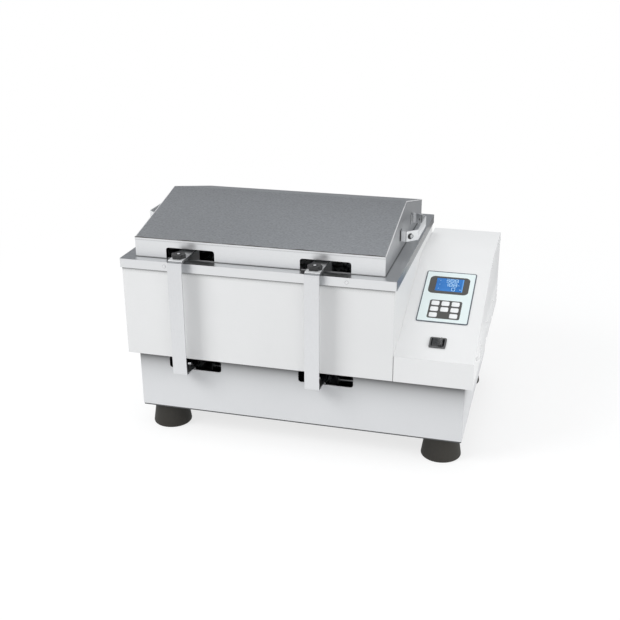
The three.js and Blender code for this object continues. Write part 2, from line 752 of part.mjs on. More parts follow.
// Drive arms, drawn about their own middle with the casing's front face at Y = 0.
// The rear pair is the front pair turned half round.
const ends = [['front', 0, 0], ['rear', bathDepth, Math.PI]];
const hands = [['left', armPlaces[0]], ['right', armPlaces[1]]];
const stations = ends.flatMap(([end, y, turn]) => hands.map(([hand, x]) => (
  { name: `${end}_${hand}`, x, y, turn }
)));
const armScrewPlaces = [0, 1].map((step) => (
  arm.bottomLeg - arm.standOff - arm.screwInset - step * arm.screwPitch
));
const knobY = knob.set - arm.standOff;
const nutBottom = armTop - arm.thickness - nut.thickness;

function placed(geometry, station) {
  return geometry.rotateZ(station.turn).translate(station.x, station.y, 0);
}

function driveArm() {
  const face = -arm.standOff + arm.thickness / 2;
  const high = armTop - arm.thickness / 2;
  const low = armFoot + arm.thickness / 2;
  const outline = bentStrip([
    [arm.topLeg - arm.standOff, high], [face, high], [face, low],
    [arm.bottomLeg - arm.standOff, low],
  ], arm.thickness, arm.bend);
  return cut(
    join(
      acrossX(outline, -arm.width / 2, arm.width / 2),
      rodZ(nut.radius, nutBottom, armTop - weld, hexSides).translate(0, knobY, 0),
      ...armScrewPlaces.map((y) => (
        screw(armScrew, armScrew.shank).translate(0, y, armFoot + arm.thickness)
      )),
    ),
    rodZ(knob.studRadius + fit, nutBottom - overrun, armTop + overrun).translate(0, knobY, 0),
  );
}

for (const station of stations) {
  const mesh = add(`drive_arm_${station.name}`, driveArm(), 'stainless');
  mesh.position.set(station.x, station.y, 0);
  mesh.rotation.z = station.turn;
}

// Hangers: plates clamped on the arms, over the rim and down into the tank, under the rack.
function rackHanger() {
  const high = hangerTop - hanger.thickness / 2;
  const low = rackFloor + weld - hanger.thickness / 2;
  const outline = bentStrip([
    [hanger.front - arm.standOff, high], [hanger.drop, high], [hanger.drop, low],
    [hanger.drop + hanger.foot, low],
  ], hanger.thickness, hanger.bend);
  return cut(
    acrossX(outline, -arm.width / 2, arm.width / 2),
    rodZ(knob.studRadius + fit, hangerTop - overrun, hangerTop + overrun).translate(0, knobY, 0),
  );
}

// Clamp knobs: lobed black caps on studs that run down through hanger and arm into a weld nut.
const knobBottom = hangerTop + fit;

function clampKnob() {
  const outline = [];
  const steps = knob.lobes * knob.pointsPerLobe;
  for (let i = 0; i < steps; i += 1) {
    const angle = 2 * Math.PI * i / steps;
    const radius = knob.radius - knob.bevel + knob.lobe * Math.cos(knob.lobes * angle);
    outline.push([radius * Math.cos(angle), radius * Math.sin(angle)]);
  }
  const cap = new THREE.ExtrudeGeometry(polygon(outline), {
    depth: knob.height - 2 * knob.bevel, bevelThickness: knob.bevel, bevelSize: knob.bevel,
    bevelSegments: 1,
  }).translate(0, 0, knobBottom + knob.bevel);
  return join(
    cap,
    rodZ(knob.hubRadius, knobBottom + knob.bevel, knobBottom + knob.height + knob.hub),
    rodZ(knob.studRadius, nutBottom, knobBottom + knob.height),
  );
}

for (const station of stations) {
  const mesh = add(`clamp_knob_${station.name}`, clampKnob(), 'blackPlastic');
  mesh.position.set(station.x, station.y + Math.cos(station.turn) * knobY, 0);
}

// Shaking rack: a perforated tray with upturned edges, welded to the feet of four hangers.
function shakingRack() {
  const left = tankLeft + tank.sheet + rack.endPlay;
  const right = tankRight - tank.sheet - rack.endPlay - stroke;
  const front = hanger.drop + hanger.thickness / 2 + fit;
  const back = bathDepth - front;
  const top = rackFloor + rack.edge;
  const floorShape = roundedShape(left, right, front, back, rack.sheet);
  const land = rack.margin + rack.hole;
  const gaps = Math.floor((right - left - 2 * land) / rack.pitch);
  const firstX = (left + right) / 2 - rack.pitch * gaps / 2;
  const pitchY = (back - front - 2 * land) / (rack.deep - 1);
  for (let i = 0; i <= gaps; i += 1) {
    for (let j = 0; j < rack.deep; j += 1) {
      const hole = new THREE.Path();
      const x = firstX + i * rack.pitch;
      const y = front + land + j * pitchY;
      hole.absarc(x, y, rack.hole, 0, Math.PI * 2, true);
      floorShape.holes.push(hole);
    }
  }
  const plate = raised(floorShape, rackFloor, rackFloor + rack.sheet, rack.holeSides / 2);
  const edge = cut(
    block(left, right, front, back, rackFloor, top),
    block(
      left + rack.sheet, right - rack.sheet, front + rack.sheet, back - rack.sheet,
      rackFloor - overrun, top + overrun,
    ),
  );
  return join(plate, edge, ...stations.map((station) => placed(rackHanger(), station)));
}

add('shaking_rack', shakingRack(), 'stainless');

// Carriage: two bars under the arms, two rails on the bearings and a tongue with the rod's pin.
const guidePlaces = [-1, 1].map((side) => midY + side * guide.spread);

function carriageFrame() {
  const front = baseFront + base.sheet + carriage.wallGap;
  const back = bathDepth - front;
  const half = carriage.barWidth / 2;
  const bars = armPlaces.map((x) => block(x - half, x + half, front, back, barBottom, carriageTop));
  const rails = guidePlaces.map((y) => block(
    armPlaces[0] - half, armPlaces[1] + half, y - carriage.railWidth / 2, y + carriage.railWidth / 2,
    railBottom, railTop + carriage.railHeight / 2,
  ));
  const tongue = roundedBlock(
    armPlaces[1], pinX + rod.eyeRadius, midY - rod.eyeRadius, midY + rod.eyeRadius,
    railBottom, railTop, rod.eyeRadius / 2,
  );
  const pinTop = rodBottom + rod.thickness + rod.pinLand;
  const pin = rodZ(crank.pinRadius, railTop - carriage.railHeight / 2, pinTop).translate(pinX, midY, 0);
  const holeBottom = carriageTop - armScrew.shank - fit;
  const hole = (y) => rodZ(armScrew.shankRadius + fit, holeBottom, carriageTop + overrun, roundScrew)
    .translate(0, y, 0);
  const holes = stations.flatMap((station) => (
    armScrewPlaces.map((y) => placed(hole(y), station))
  ));
  return cut(join(...bars, ...rails, tongue, pin), ...holes);
}

add('carriage_frame', carriageFrame(), 'steel');

// Two fixed guide rods, front and rear, each with two bearing blocks that carry the carriage.
// The supports at their ends stand clear of the bearings at both ends of the stroke.
const guides = [['front', guidePlaces[0]], ['rear', guidePlaces[1]]];
const supportReach = bearing.length / 2 + guide.play + guide.supportLength / 2;
const supportPlaces = [
  ['left', armPlaces[0] - supportReach], ['right', armPlaces[1] + stroke + supportReach],
];
const rodReach = guide.supportLength / 2 + guide.tail;
for (const [end, y] of guides) {
  add(
    `guide_rod_${end}`,
    rodX(guide.radius, supportPlaces[0][1] - rodReach, supportPlaces[1][1] + rodReach)
      .translate(0, y, guideLevel),
    'stainless',
  );
  for (const [hand, x] of hands) {
    add(`bearing_${end}_${hand}`, cut(
      block(
        x - bearing.length / 2, x + bearing.length / 2, y - bearing.width / 2, y + bearing.width / 2,
        guideLevel - bearing.halfHeight, guideLevel + bearing.halfHeight,
      ),
      rodX(guide.radius + fit, x - bearing.length, x + bearing.length).translate(0, y, guideLevel),
    ), 'aluminium');
  }
}

// A cross bar at each end holds both guide rods above the bottom plate.
for (const [hand, x] of supportPlaces) {
  const half = guide.supportLength / 2;
  const reach = guide.spread + guide.supportWidth / 2;
  const arch = guide.spread - guide.supportWidth / 2;
  add(`rod_support_${hand}`, cut(
    block(
      x - half, x + half, midY - reach, midY + reach,
      plateTop + fit, guideLevel + guide.radius + guide.supportCrown,
    ),
    block(
      x - half - overrun, x + half + overrun, midY - arch, midY + arch,
      plateTop + fit + guide.supportBase, guideLevel + guide.radius + guide.supportCrown + overrun,
    ),
    ...guidePlaces.map((y) => rodX(guide.radius + fit, x - half - overrun, x + half + overrun)
      .translate(0, y, guideLevel)),
  ), 'aluminium');
}

// Connecting rod: two eyes and a bar. Its crank end carries the pin, just below the disc.
function connectingRod() {
  const top = rodBottom + rod.thickness;
  const crankEnd = pinX + rodLength;
  return cut(
    join(
      rodZ(rod.eyeRadius, rodBottom, top, roundLarge).translate(pinX, midY, 0),
      rodZ(rod.eyeRadius, rodBottom, top, roundLarge).translate(crankEnd, midY, 0),
      block(pinX, crankEnd, midY - rod.width / 2, midY + rod.width / 2, rodBottom, top),
      rodZ(crank.pinRadius, rodBottom, top + rod.pinLand).translate(crankEnd, midY, 0),
    ),
    rodZ(crank.pinRadius + fit, rodBottom - overrun, top + overrun).translate(pinX, midY, 0),
  );
}

add('connecting_rod', connectingRod(), 'steel');

// Crank disc on the gear motor's output shaft, with the hole of the crank pin.
const consoleFloorBottom = baseTop + fit;
const consoleFloorTop = consoleFloorBottom + consoleBody.sheet;
const bracketBottom = consoleFloorTop + fit;
const bracketTop = bracketBottom + bracket.thickness;
const motorBottom = bracketTop + fit;

function crankDisc() {
  const discTop = discBottom + crank.discHeight;
  return cut(
    join(
      rodZ(crank.discRadius, discBottom, discTop, roundLarge),
      rodZ(crank.hubRadius, discTop, discTop + crank.hub),
      rodZ(crank.shaftRadius, discBottom, motorBottom + motor.boreDepth - fit),
    ),
    rodZ(crank.pinHoleRadius, discBottom - overrun, discTop + overrun).translate(-stroke / 2, 0, 0),
  );
}

add('crank_disc', crankDisc(), 'steel').position.set(crankX, midY, 0);

// Gear motor standing in the console, with its output downwards.
function gearMotor() {
  const half = motor.box / 2;
  const boxTop = motorBottom + motor.boxHeight;
  return cut(
    join(
      roundedBlock(-half, half, -half, half, motorBottom, boxTop, motor.corner),
      rodZ(motor.bossRadius, motorBottom - motor.boss, motorBottom + motor.boss),
      rodZ(motor.radius, boxTop - motor.boss, boxTop + motor.height, roundLarge),
      rodZ(motor.capRadius, boxTop, boxTop + motor.height + motor.cap, roundLarge),
    ),
    rodZ(crank.shaftRadius + fit, motorBottom - motor.boss - overrun, motorBottom + motor.boreDepth),
  );
}

add('gear_motor', gearMotor(), 'aluminium').position.set(crankX, midY, 0);

// Mounting plate between the motor and the console floor.
add('motor_bracket', cut(
  roundedBlock(
    -bracket.length / 2, bracket.length / 2, -bracket.length / 2, bracket.length / 2,
    bracketBottom, bracketTop, bracket.corner,
  ),
  rodZ(bracket.boreRadius, bracketBottom - overrun, bracketTop + overrun),
), 'steel').position.set(crankX, midY, 0);

// Console cover: front, slope and top in one folded sheet, with the left wall and two flanges.
const coverBottom = baseTop + fit;
const consoleFront = baseTop + consoleBody.frontHeight;
const consoleTop = baseTop + consoleBody.topHeight;
const sideScrewPlaces = [
  [sideScrew.fromFront, baseTop + sideScrew.frontLevel],
  [consoleBody.slopeRun - sideScrew.fromBend, consoleTop - sideScrew.bendDrop],
  [consoleDepth - sideScrew.fromRear, consoleTop - sideScrew.rearDrop],
];
const rearScrewPlaces = [
  [consoleLeft + rearScrewInset, consoleTop - rearScrewInset],
  [consoleRight - rearScrewInset, consoleTop - rearScrewInset],
  [consoleLeft + rearScrewInset, coverBottom + rearScrewInset],
  [consoleRight - rearScrewInset, coverBottom + rearScrewInset],
];

// The console's side outline, drawn inset from the front, slope and top by one distance.
function consoleOutline(inset, back, bottom) {
  const slope = Math.tan(slopeAngle);
  const frontTop = consoleFront + slope * inset - inset / Math.cos(slopeAngle);
  const bendY = (consoleTop - inset - consoleFront + inset / Math.cos(slopeAngle)) / slope;
  return polygon([
    [inset, bottom], [back, bottom], [back, consoleTop - inset], [bendY, consoleTop - inset],
    [inset, frontTop],
  ]);
}

function consoleCover() {
  const sheet = consoleBody.sheet;
  const recess = sheet + fit;
  const flangeRight = consoleRight - recess;
  const flangeBack = consoleDepth - recess;
  const outer = acrossX(consoleOutline(0, consoleDepth, coverBottom), consoleLeft, consoleRight);
  const room = acrossX(
    consoleOutline(sheet, flangeBack - sheet, coverBottom - overrun),
    consoleLeft + sheet, flangeRight - sheet,
  );
  const sideMouth = acrossX(
    consoleOutline(consoleBody.flange, consoleDepth - consoleBody.flange, coverBottom - overrun),
    flangeRight - sheet - overrun, consoleRight + overrun,
  );
  const sideSeat = acrossX(
    consoleOutline(consoleBody.lip, consoleDepth - consoleBody.lip, coverBottom - overrun),
    flangeRight, consoleRight + overrun,
  );
  const rearMouth = block(
    consoleLeft + consoleBody.flange, consoleRight - consoleBody.flange,
    flangeBack - sheet - overrun, consoleDepth + overrun,
    coverBottom - overrun, consoleTop - consoleBody.flange,
  );
  const rearSeat = block(
    consoleLeft + consoleBody.lip, consoleRight - consoleBody.lip, flangeBack, consoleDepth + overrun,
    coverBottom - overrun, consoleTop - consoleBody.lip,
  );
  const sideHoles = sideScrewPlaces.map(([y, z]) => (
    rodX(panelScrew.shankRadius + fit, flangeRight - overrun, consoleRight, roundScrew)
      .translate(0, y, z)
  ));
  const rearHoles = rearScrewPlaces.map(([x, z]) => (
    rodY(panelScrew.shankRadius + fit, flangeBack - overrun, consoleDepth, roundScrew)
      .translate(x, 0, z)
  ));
  return cut(
    outer, room, sideMouth, sideSeat, rearMouth, rearSeat, ...sideHoles, ...rearHoles, ...slopeCuts(),
  );
}

// Places on the slope: x to the right of the console's edge, y up the slope, z out of it.
const slope = new THREE.Group();
slope.position.set(consoleLeft, 0, consoleFront);
slope.rotation.x = slopeAngle;
slope.updateMatrix();
bath.add(slope);

const rockerX = consoleLength / 2;
const overlayMid = overlay.left + overlay.width / 2;

// The cover's cut-outs behind the overlay and round the rocker switch.
function slopeCuts() {
  const window = roundedBlock(
    overlay.left + overlay.land, overlay.left + overlay.width - overlay.land,
    overlay.up + overlay.land, overlay.up + overlay.height - overlay.land,
    -overrun, overrun, overlay.corner,
  );
  const halfWidth = rocker.width / 2 - rocker.bodyInset + fit;
  const halfHeight = rocker.height / 2 - rocker.bodyInset + fit;
  const hole = block(
    rockerX - halfWidth, rockerX + halfWidth, rocker.up - halfHeight, rocker.up + halfHeight,
    -overrun, overrun,
  );
  return [window, hole].map((tool) => tool.applyMatrix4(slope.matrix));
}

add('console_cover', consoleCover(), 'paint');

// Right side panel, screwed into the cover's edge, with rows of downward louvres.
const louvreLength = (
  consoleDepth - louvre.frontLand - louvre.rearLand - (louvre.columns - 1) * louvre.gap
) / louvre.columns;

function louvreWedge(y, z, inset) {
  const back = consoleRight - consoleBody.sheet - inset;
  const outline = polygon([
    [back, z - inset], [consoleRight + louvre.depth - inset, z - inset],
    [back, z + louvre.rise - inset],
  ]);
  return acrossY(outline, y + inset, y + louvreLength - inset);
}

function sidePanel() {
  const bottom = coverBottom;
  const plate = acrossX(
    consoleOutline(consoleBody.lip + fit, consoleDepth - consoleBody.lip - fit, bottom),
    consoleRight - consoleBody.sheet, consoleRight,
  );
  const louvrePlaces = [];
  for (let row = 0; row < louvre.rows; row += 1) {
    for (let column = 0; column < louvre.columns; column += 1) {
      louvrePlaces.push([
        louvre.frontLand + column * (louvreLength + louvre.gap),
        baseTop + louvre.level + row * louvre.rowPitch,
      ]);
    }
  }
  const screws = sideScrewPlaces.map(([y, z]) => screw(panelScrew, panelScrew.shank)
    .rotateY(Math.PI / 2).translate(consoleRight, y, z));
  const pressed = cut(
    join(plate, ...louvrePlaces.map(([y, z]) => louvreWedge(y, z, 0))),
    ...louvrePlaces.map(([y, z]) => louvreWedge(y, z, consoleBody.sheet)),
  );
  return join(pressed, ...screws);
}

add('console_side_panel', sidePanel(), 'paint');

// Rear panel with its screws and the opening of the mains inlet.
const inletLevel = baseTop + inlet.level;

function rearPanel() {
  const plate = block(
    consoleLeft + consoleBody.lip + fit, consoleRight - consoleBody.lip - fit,
    consoleDepth - consoleBody.sheet, consoleDepth,
    coverBottom, consoleTop - consoleBody.lip - fit,
  );
  const opening = acrossY(roundedShape(
    consoleMidX - inlet.bodyWidth / 2 - fit, consoleMidX + inlet.bodyWidth / 2 + fit,
    inletLevel - inlet.bodyHeight / 2 - fit, inletLevel + inlet.bodyHeight / 2 + fit, fit,
  ), consoleDepth - overrun, consoleDepth + overrun);
  const screws = rearScrewPlaces.map(([x, z]) => screw(panelScrew, panelScrew.shank)
    .rotateX(-Math.PI / 2).translate(x, consoleDepth, z));
  return join(cut(plate, opening), ...screws);
}

add('console_rear_panel', rearPanel(), 'paint');

// Console floor on the base, open for the motor's shaft.
add('console_floor', cut(
  block(
    consoleLeft + consoleBody.sheet + fit, consoleRight - 2 * (consoleBody.sheet + fit),
    consoleBody.sheet + fit, consoleDepth - 2 * (consoleBody.sheet + fit),
    consoleFloorBottom, consoleFloorTop,
  ),
  rodZ(bracket.boreRadius, consoleFloorBottom - overrun, consoleFloorTop + overrun)
    .translate(crankX, midY, 0),
), 'steel');

// Control overlay: a film with an opening for the display and one for each key.
const overlayTop = fit + overlay.thickness;
const displayLeft = overlayMid - display.width / 2;
const displayUp = overlay.up + display.up;
const boardTop = -(key.depth + key.travel + fit);

function keyCentre([column, row]) {
  return [
    overlayMid + column * key.pitchX,
    overlay.up + key.up + key.height / 2 + row * key.pitchY,
  ];
}

function keyBlock([x, y], grow, z0, z1) {
  const halfWidth = key.width / 2 + grow;
  const halfHeight = key.height / 2 + grow;
  return roundedBlock(
    x - halfWidth, x + halfWidth, y - halfHeight, y + halfHeight, z0, z1, key.corner + grow,
  );
}

add('overlay_panel', cut(
  roundedBlock(
    overlay.left, overlay.left + overlay.width, overlay.up, overlay.up + overlay.height,
    fit, overlayTop, overlay.corner,
  ),
  block(
    displayLeft, displayLeft + display.width, displayUp, displayUp + display.height,
    -overrun, overlayTop + overrun,
  ),
  ...keyPlaces.map((place) => keyBlock(keyCentre(place), fit, -overrun, overlayTop + overrun)),
), 'overlayFilm', slope);

// Display and key board behind the overlay.
add('display_module', join(
  block(
    displayLeft + fit, displayLeft + display.width - fit,
    displayUp + fit, displayUp + display.height - fit, boardTop, overlayTop - fit,
  ),
  block(
    overlay.left + display.boardMargin, overlay.left + overlay.width - display.boardMargin,
    overlay.up + display.boardMargin, overlay.up + overlay.height - display.boardMargin,
    boardTop - display.board, boardTop,
  ),
), 'screen', slope);

// Eight membrane keys, each a small raised pad that sinks a little when it is pressed.
keyPlaces.forEach((place, index) => {
  add(
    `key_${index + 1}`,
    keyBlock(keyCentre(place), 0, -key.depth, overlayTop + key.stand), 'keyFilm', slope,
  );
});

// Rocker switch: a housing with a bezel and a pocket, and the dished paddle that tilts in it.
function rockerHousing() {
  const half = [rocker.width / 2, rocker.height / 2];
  const inner = half.map((size) => size - rocker.bodyInset);
  const pocket = half.map((size) => size - rocker.frame);
  return cut(
    join(
      roundedBlock(-half[0], half[0], -half[1], half[1], fit, fit + rocker.bezel, rocker.corner),
      block(-inner[0], inner[0], -inner[1], inner[1], -rocker.body, fit + rocker.bezel / 2),
    ),
    block(-pocket[0], pocket[0], -pocket[1], pocket[1], -rocker.pocket, fit + rocker.bezel + overrun),
  );
}

add('rocker_housing', rockerHousing(), 'blackPlastic', slope).position.set(rockerX, rocker.up, 0);

function rockerPaddle() {
  const depth = rocker.height - 2 * (rocker.frame + fit);
  const outline = polygon([
    [-rocker.tipHalf, rocker.tip], [-rocker.half, rocker.shoulder], [-rocker.half, -rocker.side],
    [-rocker.bellyHalf, -rocker.belly], [rocker.bellyHalf, -rocker.belly],
    [rocker.half, -rocker.side], [rocker.half, rocker.shoulder], [rocker.tipHalf, rocker.tip],
  ]);
  outline.quadraticCurveTo(0, 2 * rocker.valley - rocker.tip, -rocker.tipHalf, rocker.tip);
  return acrossY(outline, -depth / 2, depth / 2, rocker.dishSteps)
    .translate(0, 0, rocker.pivot)
    .rotateY(-THREE.MathUtils.degToRad(rocker.tiltDegrees));
}

add('rocker_paddle', rockerPaddle(), 'blackPlastic', slope)
  .position.set(rockerX, rocker.up, -rocker.pivot);

// Control board behind the motor, on four posts, with its transformer, relays and capacitors.
const boardDepth = consoleDepth - board.back - (midY + motor.box / 2 + board.motorGap);

function controlBoard() {
  const left = -board.length / 2;
  const front = -boardDepth;
  const bottom = board.post;
  const top = bottom + board.thickness;
  const posts = [left + board.postInset, -left - board.postInset].flatMap((x) => (
    [front + board.postInset, -board.postInset].map((y) => (
      rodZ(board.postRadius, 0, top, roundScrew).translate(x, y, 0)
    ))
  ));
  const blocks = boardPartShares.map((share) => {
    const x = left + share.x * board.length;
    const y = front + share.y * boardDepth;
    const halfLength = share.length * board.length / 2;
    const halfDepth = share.depth * boardDepth / 2;
    return block(
      x - halfLength, x + halfLength, y - halfDepth, y + halfDepth,
      top - fit, top + share.height * board.tallest,
    );
  });
  return join(block(left, -left, front, 0, bottom, top), ...posts, ...blocks);
}

add('control_board', controlBoard(), 'circuit')
  .position.set(consoleMidX, consoleDepth - board.back, consoleFloorTop + fit);

// Mains inlet with three pins in its pocket.
function powerInlet() {
  const flat = consoleDepth + fit;
  const frame = (width, height, corner, y0, y1) => acrossY(roundedShape(
    consoleMidX - width / 2, consoleMidX + width / 2,
    inletLevel - height / 2, inletLevel + height / 2, corner,
  ), y0, y1);
  const shell = cut(
    join(
      frame(inlet.width, inlet.height, inlet.corner, flat, flat + inlet.flange),
      frame(inlet.bodyWidth, inlet.bodyHeight, fit, flat - inlet.body, flat + inlet.flange / 2),
    ),
    frame(
      inlet.pocketWidth, inlet.pocketHeight, fit, flat + inlet.flange - inlet.pocket,
      flat + inlet.flange + overrun,
    ),
  );
  const pins = [-1, 0, 1].map((place) => {
    const x = consoleMidX + place * inlet.pinPitch;
    const z = inletLevel + (place === 0 ? inlet.pinRise : -inlet.pinRise / 2);
    const root = flat + inlet.flange - inlet.pocket;
    return block(
      x - inlet.pinWidth / 2, x + inlet.pinWidth / 2, root - fit, root + inlet.pin,
      z - inlet.pinHeight / 2, z + inlet.pinHeight / 2,
    );
  });
  return join(shell, ...pins);
}

add('power_inlet', powerInlet(), 'blackPlastic');

// The finished machine, centred on its own middle with its feet on the bench.
const machine = new THREE.Group();
machine.add(bath);
bath.updateMatrixWorld(true);
const extent = new THREE.Box3().setFromObject(bath, true);
bath.position.set(
  -(extent.min.x + extent.max.x) / 2, -(extent.min.y + extent.max.y) / 2, -extent.min.z,
);

export default machine;
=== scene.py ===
import math

import bmesh
import bpy
from mathutils import Matrix, Vector


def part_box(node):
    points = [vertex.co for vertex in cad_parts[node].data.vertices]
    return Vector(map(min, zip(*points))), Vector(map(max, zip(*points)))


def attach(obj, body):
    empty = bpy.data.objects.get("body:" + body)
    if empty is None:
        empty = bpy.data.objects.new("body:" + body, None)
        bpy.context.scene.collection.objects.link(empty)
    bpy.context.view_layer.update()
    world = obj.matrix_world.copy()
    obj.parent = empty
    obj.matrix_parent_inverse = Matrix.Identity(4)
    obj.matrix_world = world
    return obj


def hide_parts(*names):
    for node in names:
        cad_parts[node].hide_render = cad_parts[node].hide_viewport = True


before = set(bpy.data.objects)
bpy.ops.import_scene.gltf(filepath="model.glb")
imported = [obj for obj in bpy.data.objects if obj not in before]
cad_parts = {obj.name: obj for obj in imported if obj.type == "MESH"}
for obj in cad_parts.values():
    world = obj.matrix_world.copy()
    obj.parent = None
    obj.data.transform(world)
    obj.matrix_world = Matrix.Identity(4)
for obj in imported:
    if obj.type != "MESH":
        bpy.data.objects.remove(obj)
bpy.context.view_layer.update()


# Camera. It stands where the photograph was taken from, a little to the right of the bath and
# above it, and looks at it through a short telephoto lens.
MM = 0.001
CAMERA_PLACE = Vector((443.1, -1697.0, 881.6)) * MM
CAMERA_AZIMUTH = 15.26
CAMERA_ELEVATION = 21.53
CAMERA_ROLL = -0.25
LENS = 56.02
SENSOR = 36.0
NEAR_LIMIT = 0.05
FAR_LIMIT = 30.0


def put_in_scene(name, data):
    item = bpy.data.objects.new(name, data)
    bpy.context.scene.collection.objects.link(item)
    return item


camera_data = bpy.data.cameras.new("camera")
camera_data.sensor_width = SENSOR
camera_data.lens = LENS
camera_data.clip_start = NEAR_LIMIT
camera_data.clip_end = FAR_LIMIT
camera = put_in_scene("camera", camera_data)
swing = Matrix.Rotation(math.radians(CAMERA_AZIMUTH), 4, "Z")
tip = Matrix.Rotation(math.radians(90.0 - CAMERA_ELEVATION), 4, "X")
roll = Matrix.Rotation(math.radians(CAMERA_ROLL), 4, "Z")
camera.matrix_world = Matrix.Translation(CAMERA_PLACE) @ swing @ tip @ roll
bpy.context.scene.camera = camera
bpy.context.scene.view_settings.view_transform = "Standard"


# Rubber feet. Four moulded cones carry the machine. Each is hollow at the sole round the head of a
# steel stud, which is moulded in and bolted up through the bottom plate.
FOOT_HEIGHT = 47.9
FOOT_SOLE = 36.0
FOOT_TOP = 30.4
FOOT_RECESS = 10.0
FOOT_RECESS_DEPTH = 26.0
FOOT_RECESS_EDGE = 1.0
FOOT_SOLE_EDGE = 3.4
FOOT_TOP_EDGE = 1.5
FOOT_TAPER = ((34.4, 14.0), (32.2, 28.0), (30.6, 42.0))  # radius and height
FOOT_STUD = 4.0
STUD_HEAD = 7.4
STUD_HEAD_HEIGHT = 4.0
STUD_EDGE = 0.8
STUD_TOP = 56.7
TURNED_SIDES = 72
SMALL_SIDES = 32
SHARP_ANGLE = math.radians(38)
SAME_POINT = 1e-6
RUBBER_TONES = ((0.018, 0.017, 0.014), (0.034, 0.031, 0.026))
ZINC_TONES = ((0.42, 0.43, 0.44), (0.56, 0.57, 0.57))
SPECK_DETAIL = 3.0
PATCH_DETAIL = 2.0
NOISE_SWING = (0.3, 0.7)
# Painted shade in hollow corners darkens a colour towards this one
CREASE_SHADE_TONE = (0.004, 0.004, 0.004)
CREASE_SAMPLES = 16
WALL_LIMIT = 0.7


def add_node(tree, kind, inputs, output=None, **settings):
    """Adds a shader node and gives its output: the named one, or the first that is in use.

    Each of its inputs is a value or another node's output."""
    made = tree.nodes.new(f"ShaderNode{kind}")
    for setting, value in settings.items():
        setattr(made, setting, value)
    for socket, source in inputs.items():
        if isinstance(source, bpy.types.NodeSocket):
            tree.links.new(source, made.inputs[socket])
        else:
            made.inputs[socket].default_value = source
    if output:
        return made.outputs[output]
    return next((way for way in made.outputs if way.enabled), None)


def add_math(tree, operation, *terms):
    return add_node(tree, "Math", dict(enumerate(terms)), operation=operation)


def add_range(tree, value, low, high, at_low=0.0, at_high=1.0, **settings):
    """Turns what runs from low to high into what runs from at_low to at_high."""
    return add_node(tree, "MapRange", {"Value": value, "From Min": low, "From Max": high,
                                       "To Min": at_low, "To Max": at_high}, **settings)


def add_noise(tree, place, detail, grain=None, patches=1.0):
    """Noise of so many patches in a metre, or of a grain that may differ along X, Y and Z."""
    if grain:
        scale = grain if isinstance(grain, tuple) else (grain, grain, grain)
        place = add_node(tree, "Mapping", {"Vector": place, "Scale": scale})
    return add_node(tree, "TexNoise", {"Vector": place, "Scale": patches, "Detail": detail})


def add_colour_mix(tree, share, first, second):
    """Mixes two colours, each of them three numbers or another node's output."""
    first, second = [(*tone, 1.0) if isinstance(tone, tuple) else tone for tone in (first, second)]
    return add_node(tree, "Mix", {"Factor": share, "A": first, "B": second}, data_type="RGBA")


def place_on(tree):
    return add_node(tree, "TexCoord", {}, "Object")


def axis_of(tree, vector, axis):
    return add_node(tree, "SeparateXYZ", {"Vector": vector}, axis)


def turn_to(tree, axis):
    """How far a face turns to an axis, from -1 to 1."""
    return axis_of(tree, add_node(tree, "NewGeometry", {}, "Normal"), axis)


def painted_crease_shade(tree, tone, reach, strength, walls=None):
    """Paints shade into a colour where other faces stand within reach of it, as in hollow corners.

    walls is the axis that the faces which take this painted shade turn to, where not all do."""
    hollow = add_node(tree, "AmbientOcclusion", {"Distance": reach}, "AO", samples=CREASE_SAMPLES)
    unshaded = add_math(tree, "POWER", hollow, strength)
    if walls:
        sideways = add_math(tree, "COMPARE", turn_to(tree, walls), 0.0, WALL_LIMIT)
        unshaded = add_math(tree, "MAXIMUM", sideways, unshaded)
    return add_colour_mix(tree, unshaded, CREASE_SHADE_TONE, tone)


def finish(name, tones, rough, grain, relief=0.0, metal=0.0, drift=0.3, drift_scale=7.0,
           crease_shade=None):
    """A material of two tones, mixed by a fine grain and a broad unevenness.

    tones are its dark and light colour, rough its smoothest and roughest, grain how many specks it
    has in a metre, in every direction or along X, Y and Z, relief how high they stand in metres,
    and drift the share of the broad unevenness, which has drift_scale patches in a metre. The last
    argument paints shade into hollow corners: how far it reaches in metres, and how strong it is."""
    skin = bpy.data.materials.new(name)
    skin.use_nodes = True
    tree = skin.node_tree
    look = tree.nodes["Principled BSDF"]
    look.inputs["Metallic"].default_value = metal
    place = place_on(tree)
    speck = add_noise(tree, place, SPECK_DETAIL, grain)
    patch = add_noise(tree, place, PATCH_DETAIL, patches=drift_scale)
    mixed = add_node(tree, "Mix", {"Factor": drift, "A": speck, "B": patch})
    spread = add_range(tree, mixed, *NOISE_SWING)
    tone = add_colour_mix(tree, spread, *tones)
    if crease_shade:
        tone = painted_crease_shade(tree, tone, *crease_shade)
    tree.links.new(tone, look.inputs["Base Color"])
    tree.links.new(add_range(tree, spread, 0.0, 1.0, *rough), look.inputs["Roughness"])
    if relief:
        bump = add_node(tree, "Bump", {"Distance": relief, "Height": speck})
        tree.links.new(bump, look.inputs["Normal"])
    return skin


